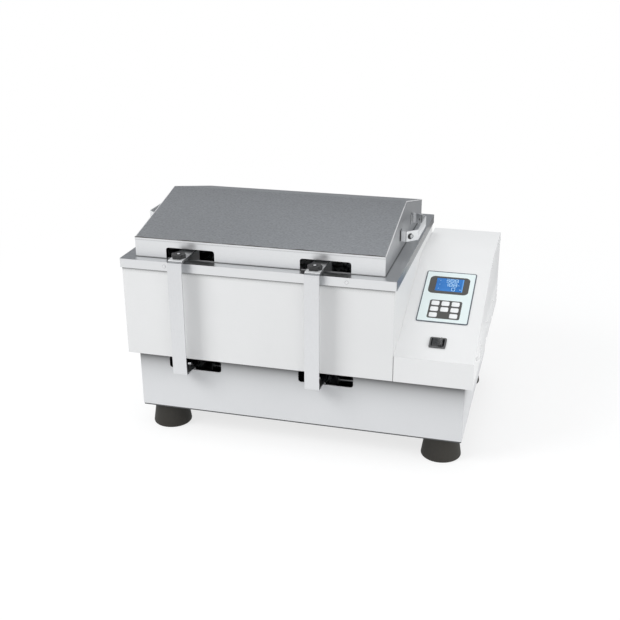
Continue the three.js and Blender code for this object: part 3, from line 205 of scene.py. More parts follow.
def turned(name, profile, sides=TURNED_SIDES, lobes=0, swell=0.0, closed=False):
    """A turned mesh. Its profile of [radius, height] in mm runs up the outside from the axis.

    Lobes swell its rim by that many mm. A closed profile goes round a hollow middle."""
    rim = max(radius for radius, height in profile)
    points, rings, faces = [], [], []
    for radius, height in profile:
        ring = []
        for i in range(sides if radius else 1):
            angle = 2 * math.pi * i / sides
            reach = radius + swell * math.cos(lobes * angle) * (radius / rim) ** 3
            ring.append(len(points))
            points.append((reach * math.cos(angle) * MM, reach * math.sin(angle) * MM, height * MM))
        rings.append(ring)
    pairs = list(zip(rings, rings[1:]))
    if closed:
        pairs.append((rings[-1], rings[0]))
    for low, high in pairs:
        for i in range(sides):
            after = (i + 1) % sides
            corners = [low[i % len(low)], low[after % len(low)],
                       high[after % len(high)], high[i % len(high)]]
            face = list(dict.fromkeys(corners))
            if len(face) > 2:
                faces.append(face)
    data = bpy.data.meshes.new(name)
    data.from_pydata(points, [], faces)
    return data


def tidy(data):
    """Joins a mesh's doubled points, turns its faces outwards and shades its round parts smooth."""
    shape = bmesh.new()
    shape.from_mesh(data)
    bmesh.ops.remove_doubles(shape, verts=shape.verts, dist=SAME_POINT)
    bmesh.ops.recalc_face_normals(shape, faces=shape.faces)
    shape.to_mesh(data)
    shape.free()
    data.shade_smooth()
    data.set_sharp_from_angle(angle=SHARP_ANGLE)
    return data


def piece(name, data, skin, body, stands_for=(), place=Matrix()):
    """Adds a piece of the machine that rides on a CAD body and may stand for CAD nodes."""
    item = put_in_scene(name, tidy(data))
    item.matrix_world = place
    if not data.materials:
        data.materials.append(skin)
    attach(item, body)
    if stands_for:
        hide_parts(*stands_for)
    return item


def node_middle(node):
    low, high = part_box(node)
    return (low + high) / 2


def arc(centre, radius, start, end, steps):
    """Points of a corner in a profile, from one angle in degrees to another."""
    angles = [math.radians(start + (end - start) * i / steps) for i in range(steps + 1)]
    return [(centre[0] + radius * math.cos(a), centre[1] + radius * math.sin(a)) for a in angles]


rubber = finish("foot_rubber", RUBBER_TONES, rough=(0.62, 0.78), grain=420, relief=0.00004,
                drift=0.5)
zinc = finish("zinc_plate", ZINC_TONES, rough=(0.28, 0.42), grain=300, relief=0.000008, metal=1.0,
              drift=0.6, drift_scale=30.0)
foot_profile = (
    [(FOOT_STUD, FOOT_RECESS_DEPTH), (FOOT_RECESS, FOOT_RECESS_DEPTH),
     (FOOT_RECESS, FOOT_RECESS_EDGE), (FOOT_RECESS + FOOT_RECESS_EDGE, 0.0)]
    + arc((FOOT_SOLE - FOOT_SOLE_EDGE, FOOT_SOLE_EDGE), FOOT_SOLE_EDGE, -90, 4, 8)
    + list(FOOT_TAPER)
    + arc((FOOT_TOP - FOOT_TOP_EDGE, FOOT_HEIGHT - FOOT_TOP_EDGE), FOOT_TOP_EDGE, 8, 90, 5)
    + [(FOOT_STUD, FOOT_HEIGHT)]
)
stud_profile = [
    (0, FOOT_RECESS_DEPTH - STUD_HEAD_HEIGHT),
    (STUD_HEAD - STUD_EDGE, FOOT_RECESS_DEPTH - STUD_HEAD_HEIGHT),
    (STUD_HEAD, FOOT_RECESS_DEPTH - STUD_HEAD_HEIGHT + STUD_EDGE),
    (STUD_HEAD, FOOT_RECESS_DEPTH), (FOOT_STUD, FOOT_RECESS_DEPTH),
    (FOOT_STUD, STUD_TOP - STUD_EDGE), (FOOT_STUD - STUD_EDGE, STUD_TOP), (0, STUD_TOP),
]
CORNERS = [f"{end}_{hand}" for end in ("front", "rear") for hand in ("left", "right")]
for corner in CORNERS:
    node = f"rubber_foot_{corner}"
    under = node_middle(node)
    spot = Matrix.Translation((under.x, under.y, 0.0))
    piece(f"foot_{corner}", turned(node, foot_profile, closed=True), rubber, "base",
          [node], spot)
    foot_stud = turned("foot_stud", stud_profile, sides=SMALL_SIDES)
    piece(f"foot_stud_{corner}", foot_stud, zinc, "base", place=spot)


# Base. A folded chassis of painted sheet, slotted in front and behind for the drive arms, and a
# bottom plate in a dark grey finish that closes it below and shows as a dark line at the foot.
PAINT_GRAIN = 900
BASE_TONES = ((0.700, 0.708, 0.720), (0.742, 0.749, 0.760))
OVERHANG_SHADE_DEPTH = 0.97
OVERHANG_SHADE_REACH = 20.0
FLAT_LIMIT = math.radians(0.4)
UNDERSIDE_TONES = ((0.070, 0.072, 0.075), (0.100, 0.102, 0.105))


def smoothing_group():
    """Shades every face smooth, so that the rounded edges after it carry the light."""
    group = bpy.data.node_groups.new("smooth_faces", "GeometryNodeTree")
    group.interface.new_socket("Geometry", in_out="INPUT", socket_type="NodeSocketGeometry")
    group.interface.new_socket("Geometry", in_out="OUTPUT", socket_type="NodeSocketGeometry")
    start = group.nodes.new("NodeGroupInput")
    smooth = group.nodes.new("GeometryNodeSetShadeSmooth")
    end = group.nodes.new("NodeGroupOutput")
    group.links.new(start.outputs[0], smooth.inputs[0])
    group.links.new(smooth.outputs[0], end.inputs[0])
    return group


smooth_faces = smoothing_group()


def dress(nodes, skin, edge=0.35, rounder=32):
    """Gives CAD nodes their finish, clean flat faces, and edges rounded by so many mm.

    Edges that bend less than rounder degrees are the facets of round parts and stay."""
    for node in nodes:
        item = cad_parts[node]
        for spot in item.material_slots:
            spot.material = skin
        whole = item.modifiers.new("whole", "WELD")
        whole.merge_threshold = SAME_POINT
        flat = item.modifiers.new("flat_faces", "DECIMATE")
        flat.decimate_type = "DISSOLVE"
        flat.angle_limit = FLAT_LIMIT
        shade = item.modifiers.new("smooth_faces", "NODES")
        shade.node_group = smooth_faces
        if edge:
            soft = item.modifiers.new("soft_edges", "BEVEL")
            soft.width = edge * MM
            soft.segments = 2
            soft.limit_method = "ANGLE"
            soft.angle_limit = math.radians(rounder)
            soft.use_clamp_overlap = True
        even = item.modifiers.new("even_shading", "WEIGHTED_NORMAL")
        even.keep_sharp = True


def scale_colour(skin, share):
    """Scales a finish's colour by a share that differs from place to place."""
    tree = skin.node_tree
    colour = tree.nodes["Principled BSDF"].inputs["Base Color"]
    scaled = add_node(tree, "VectorMath", {0: colour.links[0].from_socket, "Scale": share},
                      operation="SCALE")
    tree.links.new(scaled, colour)


def painted_shade_below(skin, level, depth, reach):
    """Paints shade into a finish under an overhang at that level, fading out over reach mm."""
    tree = skin.node_tree
    height = axis_of(tree, place_on(tree), "Z")
    drop = add_math(tree, "MULTIPLY_ADD", height, 1 / (reach * MM), -level / (reach * MM))
    fall = add_math(tree, "EXPONENT", drop)
    scale_colour(skin, add_math(tree, "MULTIPLY_ADD", fall, -depth, 1.0))


base_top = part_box("base_chassis")[1].z
base_paint = finish("base_paint", BASE_TONES, rough=(0.40, 0.50), grain=PAINT_GRAIN,
                    relief=0.000012, drift=0.55)
# Painted shade under the casing's overhang, darkest at the chassis' top edge
painted_shade_below(base_paint, base_top, OVERHANG_SHADE_DEPTH, OVERHANG_SHADE_REACH)
dark_bottom_finish = finish("dark_bottom_finish", UNDERSIDE_TONES, rough=(0.55, 0.70),
                          grain=PAINT_GRAIN, relief=0.00002)
dress(["base_chassis"], base_paint)
dress(["base_bottom_plate"], dark_bottom_finish)


# Shaking drive inside the base. A gear motor turns a crank disc, whose rod pushes a steel carriage
# to and fro on two guide rods. Bearings and supports are milled aluminium.
ALUMINIUM_TONES = ((0.52, 0.53, 0.54), (0.64, 0.65, 0.66))
GROUND_TONES = ((0.60, 0.61, 0.62), (0.68, 0.69, 0.70))
aluminium = finish("milled_aluminium", ALUMINIUM_TONES, rough=(0.34, 0.46), grain=(60, 700, 700),
                   relief=0.000006, metal=1.0)
ground_steel = finish("ground_steel", GROUND_TONES, rough=(0.14, 0.22), grain=900, relief=0.0,
                      metal=1.0)
dress(["carriage_frame", "connecting_rod", "crank_disc", "motor_bracket"], zinc)
dress(["guide_rod_front", "guide_rod_rear"], ground_steel)
dress([f"bearing_{corner}" for corner in CORNERS], aluminium)
dress(["rod_support_left", "rod_support_right", "gear_motor"], aluminium, edge=0.6)


# Bath casing. Four walls of folded sheet round the tank in a warm white powder coat, with mineral
# wool packed between them and the tank.
CASING_TONES = ((0.765, 0.768, 0.768), (0.798, 0.800, 0.800))
# Painted shade in the casing's hollow corners, on the faces that turn to Y alone, as under the rim's
# skirt
CASING_CREASE_SHADE = (0.009, 4.0, "Y")
WOOL_TONES = ((0.42, 0.36, 0.20), (0.72, 0.66, 0.46))
casing_paint = finish("casing_paint", CASING_TONES, rough=(0.36, 0.46), grain=PAINT_GRAIN,
                      relief=0.000012, drift=0.55, crease_shade=CASING_CREASE_SHADE)
console_paint = finish("console_paint", CASING_TONES, rough=(0.36, 0.46), grain=PAINT_GRAIN,
                       relief=0.000012, drift=0.55)
mineral_wool = finish("mineral_wool", WOOL_TONES, rough=(0.9, 1.0), grain=(700, 260, 260),
                      relief=0.0012, drift=0.35, drift_scale=40.0)
dress(["bath_casing"], casing_paint)
dress(["tank_lagging"], mineral_wool, edge=1.2)


# Tank. Deep-drawn stainless steel with a tubular heater on its floor, a probe in its right wall and
# a brass drain valve behind, whose lever is black plastic.
DRAWN_TONES = ((0.55, 0.56, 0.57), (0.66, 0.67, 0.68))
SHEATH_TONES = ((0.26, 0.25, 0.24), (0.40, 0.39, 0.37))
BRASS_TONES = ((0.50, 0.37, 0.16), (0.66, 0.50, 0.25))
BLACK_TONES = ((0.016, 0.017, 0.018), (0.028, 0.029, 0.031))
drawn_steel = finish("drawn_steel", DRAWN_TONES, rough=(0.24, 0.36), grain=200, relief=0.000006,
                     metal=1.0, drift=0.6)
heater_sheath = finish("heater_sheath", SHEATH_TONES, rough=(0.38, 0.55), grain=(160, 400, 400),
                       relief=0.00001, metal=1.0, drift=0.6, drift_scale=18.0)
brass = finish("cast_brass", BRASS_TONES, rough=(0.32, 0.48), grain=350, relief=0.00002, metal=1.0,
               drift=0.5, drift_scale=40.0)
black_plastic = finish("black_plastic", BLACK_TONES, rough=(0.38, 0.50), grain=1100, relief=0.00002)
dress(["bath_tank"], drawn_steel)
dress(["heater_element", "temperature_probe"], heater_sheath, edge=0.0)
dress(["drain_valve"], brass, edge=0.5)
dress(["drain_lever"], black_plastic, edge=0.5)


# Rim. A folded stainless frame over the casing's edge, fixed through its skirt by four blind
# rivets. It has a cold-rolled satin skin and faint marks of handling.
RIM_TONES = ((0.735, 0.745, 0.758), (0.770, 0.780, 0.790))
# Painted shade in the hollow corners of the stainless parts: its reach in metres and its strength
STEEL_CREASE_SHADE = (0.003, 1.6)
POLISHED_TONES = ((0.76, 0.77, 0.78), (0.84, 0.85, 0.86))
RIM_END_SHADE = 0.48
TURNED_FROM, TURNED_TO = 0.5, 0.9
RIM_LIP = 1.0
RIVET_RADIUS = 2.7
RIVET_HEIGHT = 1.15
RIVET_EDGE = 0.25
RIVET_DOME = (0.0, 0.35, 0.7, 1.05, 1.35)
RIVET_SEAT = 1.0
RIVET_DROP = 8.0
RIVET_INSET = 85.4
# Painted shade darkens the rim's hollow corners.
satin_steel = finish("satin_steel", RIM_TONES, rough=(0.30, 0.40), grain=(60, 260, 600),
                     relief=0.000002, metal=1.0, drift=0.35, drift_scale=12.0, crease_shade=STEEL_CREASE_SHADE)
polished_steel = finish("polished_steel", POLISHED_TONES, rough=(0.10, 0.18), grain=600,
                        relief=0.000004, metal=1.0)


def by_facing(skin, axis, share):
    """Scales a finish's colour by a share on the faces that turn to an axis."""
    tree = skin.node_tree
    turned_to = add_math(tree, "ABSOLUTE", turn_to(tree, axis))
    scale_colour(skin, add_range(tree, turned_to, TURNED_FROM, TURNED_TO, 1.0, share))


# Painted shade: the rim's end skirts, which turn to X, are darker than its front and back.
by_facing(satin_steel, "X", RIM_END_SHADE)
dress(["bath_rim"], satin_steel)


def merged(name, parts):
    """One mesh of several."""
    shape = bmesh.new()
    for part in parts:
        shape.from_mesh(part)
    whole = bpy.data.meshes.new(name)
    shape.to_mesh(whole)
    shape.free()
    return whole


def repeated(name, data, places):
    """One mesh of many copies, one at each matrix."""
    copies = [data.copy() for place in places]
    for copy, place in zip(copies, places):
        copy.transform(place)
    return merged(name, copies)


def facing(direction, place):
    """The matrix that stands a turned piece on a face at that place, its top to the direction."""
    return Matrix.Translation(place) @ Vector(direction).to_track_quat("Z", "Y").to_matrix().to_4x4()


rim_low, rim_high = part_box("bath_rim")
rivet_dome = [(RIVET_RADIUS * math.cos(a), RIVET_EDGE + (RIVET_HEIGHT - RIVET_EDGE) * math.sin(a))
              for a in RIVET_DOME]
rivet_head = turned("rivet_head", [(0, 0), (RIVET_RADIUS, 0), *rivet_dome, (0, RIVET_HEIGHT)],
                    sides=SMALL_SIDES)
rim_level = rim_high.z - RIM_LIP * MM
rivet_spots = []
for x in (rim_low.x + RIVET_INSET * MM, rim_high.x - RIVET_INSET * MM):
    for y, outward in ((rim_low.y + RIVET_SEAT * MM, -1), (rim_high.y - RIVET_SEAT * MM, 1)):
        rivet_spots.append(facing((0, outward, 0), (x, y, rim_level - RIVET_DROP * MM)))
piece("rim_rivets", repeated("rim_rivets", rivet_head, rivet_spots), polished_steel, "base")


# Shaking rack. A tray of pierced stainless sheet with turned-up edges, hung from the four arms by
# bent hangers that go over the rim and are spot welded under the tray.
TRAY_SHEET = 1.2
TRAY_LEVEL = 231.5
TRAY_EDGE = 15.0
WALL_SEAT = 0.1
TRAY_MARGIN_Y = 63.3
TRAY_HOLE = 12.0
TRAY_PITCH = 46.0
TRAY_ACROSS = 8
TRAY_DEEP = 5
TRAY_LAND = 26.0
HANGER_WIDTH = 26.5
HANGER_SHEET = 2.0
HANGER_TOP = 349.3
HANGER_FRONT = -19.4
HANGER_DROP = 62.0
HANGER_FOOT = 24.0
BEND = 3.5
BEND_STEPS = 8
SCOURED_TONES = ((0.74, 0.75, 0.76), (0.82, 0.83, 0.84))
HANGER_SIDE_SHADE = 0.25
scoured_steel = finish("scoured_steel", SCOURED_TONES, rough=(0.34, 0.44), grain=(160, 500, 500),
                       relief=0.000006, metal=0.15)
# Painted shade: the hangers' sides, which turn to X, are darker.
by_facing(scoured_steel, "X", HANGER_SIDE_SHADE)
# Stands a flat drawing up, so that its X, Y and thickness run along Y, Z and X
TO_X = Matrix(((0, 0, 1, 0), (1, 0, 0, 0), (0, 1, 0, 0), (0, 0, 0, 1)))


def circle(x, y, radius, sides=40):
    return [(x + radius * math.cos(2 * math.pi * i / sides),
             y + radius * math.sin(2 * math.pi * i / sides)) for i in range(sides)]


def rounded(left, right, low, high, radius, steps=6):
    """The outline of a rectangle with round corners, anticlockwise, in mm."""
    return (arc((right - radius, low + radius), radius, -90, 0, steps)
            + arc((right - radius, high - radius), radius, 0, 90, steps)
            + arc((left + radius, high - radius), radius, 90, 180, steps)
            + arc((left + radius, low + radius), radius, 180, 270, steps))


def shape_of(item):
    """A mesh of an item's shape after its modifiers."""
    seen_by = bpy.context.evaluated_depsgraph_get()
    return bpy.data.meshes.new_from_object(item.evaluated_get(seen_by))


def plate(name, outlines, low, high, edge=0.0):
    """A plate from one height to another, cut to outlines in mm: rims, and holes inside them.

    Its edges are rounded by so many mm."""
    curve = bpy.data.curves.new(name, "CURVE")
    curve.dimensions = "2D"
    curve.fill_mode = "BOTH"
    curve.extrude = ((high - low) / 2 - edge) * MM
    curve.bevel_depth = edge * MM
    curve.bevel_resolution = 1
    curve.offset = -edge * MM
    for outline in outlines:
        spline = curve.splines.new("POLY")
        spline.points.add(len(outline) - 1)
        for point, (x, y) in zip(spline.points, outline):
            point.co = (x * MM, y * MM, 0.0, 1.0)
        spline.use_cyclic_u = True
    pattern = put_in_scene(name, curve)
    data = shape_of(pattern)
    bpy.data.objects.remove(pattern)
    data.transform(Matrix.Translation((0, 0, (low + high) / 2 * MM)))
    data.name = name
    return data


def bent_strip(corners, thickness, radius=BEND):
    """The edge outline of sheet bent along its corners, every bend to one radius, in mm."""
    path = [Vector(corner) for corner in corners]
    samples = [(path[0], (path[1] - path[0]).normalized())]
    for before, corner, after in zip(path, path[1:], path[2:]):
        way_in, way_out = (corner - before).normalized(), (after - corner).normalized()
        bend = -way_in.angle_signed(way_out)
        reach = radius * math.tan(abs(bend) / 2)
        start = corner - way_in * reach
        centre = start + Vector((-way_in.y, way_in.x)) * math.copysign(radius, bend)
        for step in range(BEND_STEPS + 1):
            part = Matrix.Rotation(bend * step / BEND_STEPS, 2)
            samples.append((centre + part @ (start - centre), part @ way_in))
    samples.append((path[-1], (path[-1] - path[-2]).normalized()))
    near = [point + Vector((way.y, -way.x)) * thickness / 2 for point, way in samples]
    far = [point - Vector((way.y, -way.x)) * thickness / 2 for point, way in samples]
    return [tuple(point) for point in near + far[::-1]]


rack_low, rack_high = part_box("shaking_rack")
casing_low, casing_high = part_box("bath_casing")
tray_left, tray_right = rack_low.x / MM, rack_high.x / MM
tray_front = casing_low.y / MM + TRAY_MARGIN_Y
tray_back = casing_high.y / MM - TRAY_MARGIN_Y
first_x = (tray_left + tray_right) / 2 - TRAY_PITCH * (TRAY_ACROSS - 1) / 2
pitch_y = (tray_back - tray_front - 2 * TRAY_LAND) / (TRAY_DEEP - 1)
tray_outline = rounded(tray_left, tray_right, tray_front, tray_back, TRAY_SHEET, steps=2)
tray_holes = [
    circle(first_x + i * TRAY_PITCH, tray_front + TRAY_LAND + j * pitch_y, TRAY_HOLE)
    for i in range(TRAY_ACROSS) for j in range(TRAY_DEEP)
]
tray = plate("rack_tray", [tray_outline, *tray_holes], TRAY_LEVEL, TRAY_LEVEL + TRAY_SHEET, edge=0.25)
tray_wall = plate("rack_wall", [
    tray_outline,
    rounded(tray_left + TRAY_SHEET, tray_right - TRAY_SHEET,
            tray_front + TRAY_SHEET, tray_back - TRAY_SHEET, TRAY_SHEET / 2, steps=2),
], TRAY_LEVEL + WALL_SEAT, TRAY_LEVEL + TRAY_EDGE, edge=0.3)
under_tray = TRAY_LEVEL - HANGER_SHEET / 2
hanger_outline = bent_strip([
    (HANGER_FRONT, HANGER_TOP), (HANGER_DROP, HANGER_TOP),
    (HANGER_DROP, under_tray), (HANGER_DROP + HANGER_FOOT, under_tray),
], HANGER_SHEET)
hanger = plate("rack_hanger", [hanger_outline], -HANGER_WIDTH / 2, HANGER_WIDTH / 2, edge=0.3)
hanger.transform(TO_X)
hanger_spots = []
for corner in CORNERS:
    over = node_middle(f"drive_arm_{corner}")
    if corner.startswith("front"):
        hanger_spots.append(Matrix.Translation((over.x, casing_low.y, 0)))
    else:
        hanger_spots.append(Matrix.Translation((over.x, casing_high.y, 0))
                            @ Matrix.Rotation(math.pi, 4, "Z"))
piece("rack_tray", merged("rack_tray", [tray, tray_wall]), drawn_steel, "carriage",
      ["shaking_rack"])
piece("rack_hangers", repeated("rack_hangers", hanger, hanger_spots), scoured_steel, "carriage")


# Drive arms. Flat stainless bar bent twice: the foot is screwed to the carriage, the long leg runs
# up outside the casing, and the top goes over the rim under the rack's hanger.
ARM_TONES = ((0.695, 0.705, 0.720), (0.735, 0.745, 0.760))
# Painted shade darkens the arms' hollow corners.
arm_steel = finish("arm_steel", ARM_TONES, rough=(0.26, 0.38), grain=(520, 520, 110),
                   relief=0.000003, metal=1.0, drift=0.3, drift_scale=14.0, crease_shade=STEEL_CREASE_SHADE)
dress([f"drive_arm_{corner}" for corner in CORNERS], arm_steel, edge=0.3)


# Clamp knobs. Six-lobed caps of black moulded plastic on a steel stud, whose end shows as a bright
# dome in the middle of a raised ring.
KNOB_RADIUS = 12.0
KNOB_LOBE = 1.2
KNOB_LOBES = 6
KNOB_HEIGHT = 7.0
KNOB_SIDES = 96
KNOB_SOLE_EDGE = 0.6
KNOB_SOLE_DISH = 0.4
KNOB_FACE_EDGE = 0.7
KNOB_RING = 4.7
KNOB_RING_EDGE = 0.4
KNOB_DOME = 0.8
KNOB_FACE = ((9.6, -0.05), (8.6, -0.4), (5.4, -0.4))  # radius, and height over the face
KNOB_RING_TOP = ((4.1, 0.35), (3.6, -0.5), (0, -0.5))
KNOB_END = ((0, -0.6), (2.9, -0.6), (2.9, 0.1), (2.6, 0.45), (1.9, 0.7), (1.0, 0.79), (0, KNOB_DOME))
SHANK_RADIUS = 2.5
SHANK_EDGE = 0.5
SHANK_TOP = 0.6
SHANK_SIDES = 24
KNOB_TONES = ((0.016, 0.016, 0.017), (0.028, 0.028, 0.029))


def over_face(points):
    """Points of a knob's profile, given by their height over the face."""
    return [(radius, KNOB_HEIGHT + rise) for radius, rise in points]


knob_profile = (
    [(0, KNOB_SOLE_DISH), (KNOB_RADIUS - 3 * KNOB_SOLE_EDGE, KNOB_SOLE_DISH),
     (KNOB_RADIUS - 2 * KNOB_SOLE_EDGE, 0)]
    + arc((KNOB_RADIUS - KNOB_SOLE_EDGE, KNOB_SOLE_EDGE), KNOB_SOLE_EDGE, -80, 0, 3)
    + arc((KNOB_RADIUS - KNOB_FACE_EDGE, KNOB_HEIGHT - KNOB_FACE_EDGE), KNOB_FACE_EDGE, 0, 90, 5)
    + over_face(KNOB_FACE)
    + arc((KNOB_RING, KNOB_HEIGHT), KNOB_RING_EDGE, 0, 90, 4)
    + over_face(KNOB_RING_TOP)
)
knob_plastic = finish("knob_plastic", KNOB_TONES, rough=(0.36, 0.50), grain=900, relief=0.00003)
for corner in CORNERS:
    node = f"clamp_knob_{corner}"
    low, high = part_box(node)
    middle = node_middle(node)
    seat = high.z / MM - KNOB_HEIGHT - KNOB_DOME
    spot = Matrix.Translation((middle.x, middle.y, seat * MM))
    end = low.z / MM - seat
    shank_profile = [(0, end), (SHANK_RADIUS - SHANK_EDGE, end), (SHANK_RADIUS, end + SHANK_EDGE),
                     (SHANK_RADIUS, SHANK_TOP), (0, SHANK_TOP)]
    knob_cap = turned("knob_cap", knob_profile, sides=KNOB_SIDES, lobes=KNOB_LOBES, swell=KNOB_LOBE)
    knob_stud = merged("knob_stud", [turned("knob_end", over_face(KNOB_END), sides=SMALL_SIDES),
                                     turned("knob_shank", shank_profile, sides=SHANK_SIDES)])
    piece(f"knob_cap_{corner}", knob_cap, knob_plastic, node, [node], spot)
    piece(f"knob_stud_{corner}", knob_stud, polished_steel, node, place=spot)


# Lid. A gabled shell of matt brushed stainless sheet. Its two roof faces are hemmed over the front
# and rear walls, which have a spot weld's soft dark mark over each window. Its end walls are darker,
# a painted shade. A rough weld bead closes the seam at either end, its pale tone also a painted
# highlight along the gable's edge, and the front hem ends in a fine wavy fold, near black for the
# painted shadow line under the hem.
LID_TONES = ((0.740, 0.752, 0.765), (0.775, 0.786, 0.800))
LID_END_SHADE = 0.8
ROOF_GRAIN = (260, 560, 560)
ROOF_CONTRAST = 0.13
WELD_SPOTS = (-180.5, 59.0)
WELD_LEVEL = 367.5
WELD_REACH = 13.0
WELD_FLATNESS = 1.9
WELD_DEPTH = 0.48
WELD_TONE = (0.16, 0.16, 0.165)
LID_HEM = 0.8
LID_MARGIN = 21.3
LID_RISE = 46.0
BEAD_HIGHLIGHT_TONES = ((0.76, 0.76, 0.76), (0.84, 0.84, 0.84))
BEAD_WIDTH = 1.5
BEAD_SINK = 0.5
BEAD_INSET = 0.3
BEAD_END = 0.2
BEAD_PEAK = 0.05
FOLD_SHADE_TONES = ((0.02, 0.019, 0.018), (0.13, 0.125, 0.12))
FOLD_STEP = 6.0
FOLD_SHEET = 0.35
FOLD_STAND = 0.5
FOLD_HANG = 0.6
FOLD_HEIGHT = 1.9
FOLD_LEVEL, FOLD_SWAY = 0.6, 0.2
FOLD_RIPPLE, FOLD_SWELL = 0.9, 0.37
# Painted shade darkens the lid's hollow corners, as along its bottom edge.
lid_steel = finish("brushed_lid_steel", LID_TONES, rough=(0.34, 0.44), grain=(150, 480, 480),
                   relief=0.000004, metal=1.0, drift=0.12, crease_shade=STEEL_CREASE_SHADE)
# The fold is real, and its near-black tone paints the shadow line under the hem.
hem_fold_shade = finish("hem_fold_shade", FOLD_SHADE_TONES, rough=(0.5, 0.6), grain=(70, 400, 400), relief=0.00001,
                  metal=0.1)
# The bead is real, and its pale tone also paints the highlight along the gable's edge.
weld_bead_highlight = finish("weld_bead_highlight", BEAD_HIGHLIGHT_TONES, rough=(0.5, 0.6), grain=900, relief=0.00002, metal=0.2)


def mark_welds(skin):
    """Darkens a finish softly round the spot welds on the lid's long walls, in wide low marks."""
    tree = skin.node_tree
    colour = tree.nodes["Principled BSDF"].inputs["Base Color"]
    place = place_on(tree)
    tone = colour.links[0].from_socket
    for x in WELD_SPOTS:
        offset = add_node(tree, "VectorMath", {
            0: place,
            1: (1.0, 0.0, WELD_FLATNESS),
            2: (-x * MM, 0.0, -WELD_FLATNESS * WELD_LEVEL * MM),
        }, operation="MULTIPLY_ADD")
        away = add_node(tree, "VectorMath", {0: offset}, operation="LENGTH")
        mark = add_range(tree, away, 0.0, WELD_REACH * MM, WELD_DEPTH, 0.0,
                         interpolation_type="SMOOTHSTEP")
        tone = add_colour_mix(tree, mark, tone, WELD_TONE)
    tree.links.new(tone, colour)


def coarse_roof(skin):
    """Streaks a finish on the faces that look up, as brushing leaves them."""
    tree = skin.node_tree
    streak = add_noise(tree, place_on(tree), PATCH_DETAIL, ROOF_GRAIN)
    by_facing(skin, "Z", add_range(tree, streak, *NOISE_SWING, 1.0 - ROOF_CONTRAST,
                                   1.0 + ROOF_CONTRAST, clamp=False))


mark_welds(lid_steel)
coarse_roof(lid_steel)
# Painted shade: the lid's end walls, which turn to X, are darker.
by_facing(lid_steel, "X", LID_END_SHADE)
dress(["lid_shell"], lid_steel, edge=0.3)
lid_low, lid_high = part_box("lid_shell")
gable_front, gable_back = lid_low.y / MM + LID_HEM, lid_high.y / MM - LID_HEM
gable_left, gable_right = casing_low.x / MM + LID_MARGIN, casing_high.x / MM - LID_MARGIN
gable_top = lid_high.z / MM
eaves = gable_top - LID_RISE
bead_outline = bent_strip([
    (gable_front + BEAD_END, eaves - BEAD_SINK),
    ((gable_front + gable_back) / 2, gable_top - BEAD_WIDTH / 2 - BEAD_PEAK),
    (gable_back - BEAD_END, eaves - BEAD_SINK),
], BEAD_WIDTH)
beads = [plate("bead", [bead_outline], end - BEAD_WIDTH / 2, end + BEAD_WIDTH / 2, edge=0.4)
         for end in (gable_left + BEAD_INSET, gable_right - BEAD_INSET)]
seam_beads = merged("lid_seam_beads", beads)
seam_beads.transform(TO_X)
piece("lid_seam_beads", seam_beads, weld_bead_highlight, "lid")
fold_points, fold_faces = [], []
fold_count = round((gable_right - gable_left) / FOLD_STEP)
fold_front = gable_front - FOLD_STAND
fold_back = fold_front + FOLD_SHEET
for step in range(fold_count + 1):
    x = gable_left + (gable_right - gable_left) * step / fold_count
    wave = math.sin(FOLD_RIPPLE * step) + math.sin(FOLD_SWELL * step + 1.0)
    crest = FOLD_HEIGHT * (FOLD_LEVEL + FOLD_SWAY * wave)
    section = ((fold_front, -FOLD_HANG), (fold_front, crest),
               (fold_back, crest), (fold_back, -FOLD_HANG))
    fold_points += [(x * MM, y * MM, (eaves + z) * MM) for y, z in section]
    if step:
        last, now = 4 * step - 4, 4 * step
        fold_faces += [(last + i, now + i, now + (i + 1) % 4, last + (i + 1) % 4) for i in range(4)]
fold_faces += [(3, 2, 1, 0), tuple(range(4 * fold_count, 4 * fold_count + 4))]
fold = bpy.data.meshes.new("hem_fold")
fold.from_pydata(fold_points, [], fold_faces)
piece("lid_hem_fold", fold, hem_fold_shade, "lid")


# Lid handles. A stainless strap with a straight grip and two slanted ends, each held to a bracket
# on the lid's end wall by a cross-head screw with a black washer under it.
HANDLE_LENGTH = 126.0
HANDLE_SHEET = 2.0
HANDLE_BEND = 2.2
HANDLE_SLANT = 17.9
HANDLE_SCREW_SHARE = 0.4
WASHER_RADIUS = 5.4
WASHER_SHADE_SLIP = 2.1
WASHER_HEIGHT = 0.9
WASHER_EDGE = 0.2
WASHER_SIDES = 48
SCREW_RADIUS = 4.0
SCREW_HEIGHT = 3.0
CROSS_LENGTH = 2.6
CROSS_WIDTH = 0.7
CROSS_DEPTH = 1.1
CROSS_CORNER = 0.42
CROSS_TOOL_RISE = 1.0
HEAD_SINK = 0.05
HEAD_EDGE = 0.3
HEAD_STEPS = 7
HEAD_FULLNESS = 0.8
HANDLE_TONES = ((0.79, 0.80, 0.81), (0.82, 0.83, 0.84))
SCREW_TONES = ((0.52, 0.53, 0.54), (0.62, 0.63, 0.64))
handle_steel = finish("handle_steel", HANDLE_TONES, rough=(0.28, 0.34), grain=(160, 160, 500),
                      relief=0.0, metal=0.3)
screw_steel = finish("screw_steel", SCREW_TONES, rough=(0.2, 0.3), grain=500, relief=0.00001,
                     metal=1.0)
washer_rubber = finish("washer_rubber", BLACK_TONES, rough=(0.5, 0.6), grain=600, relief=0.00002)


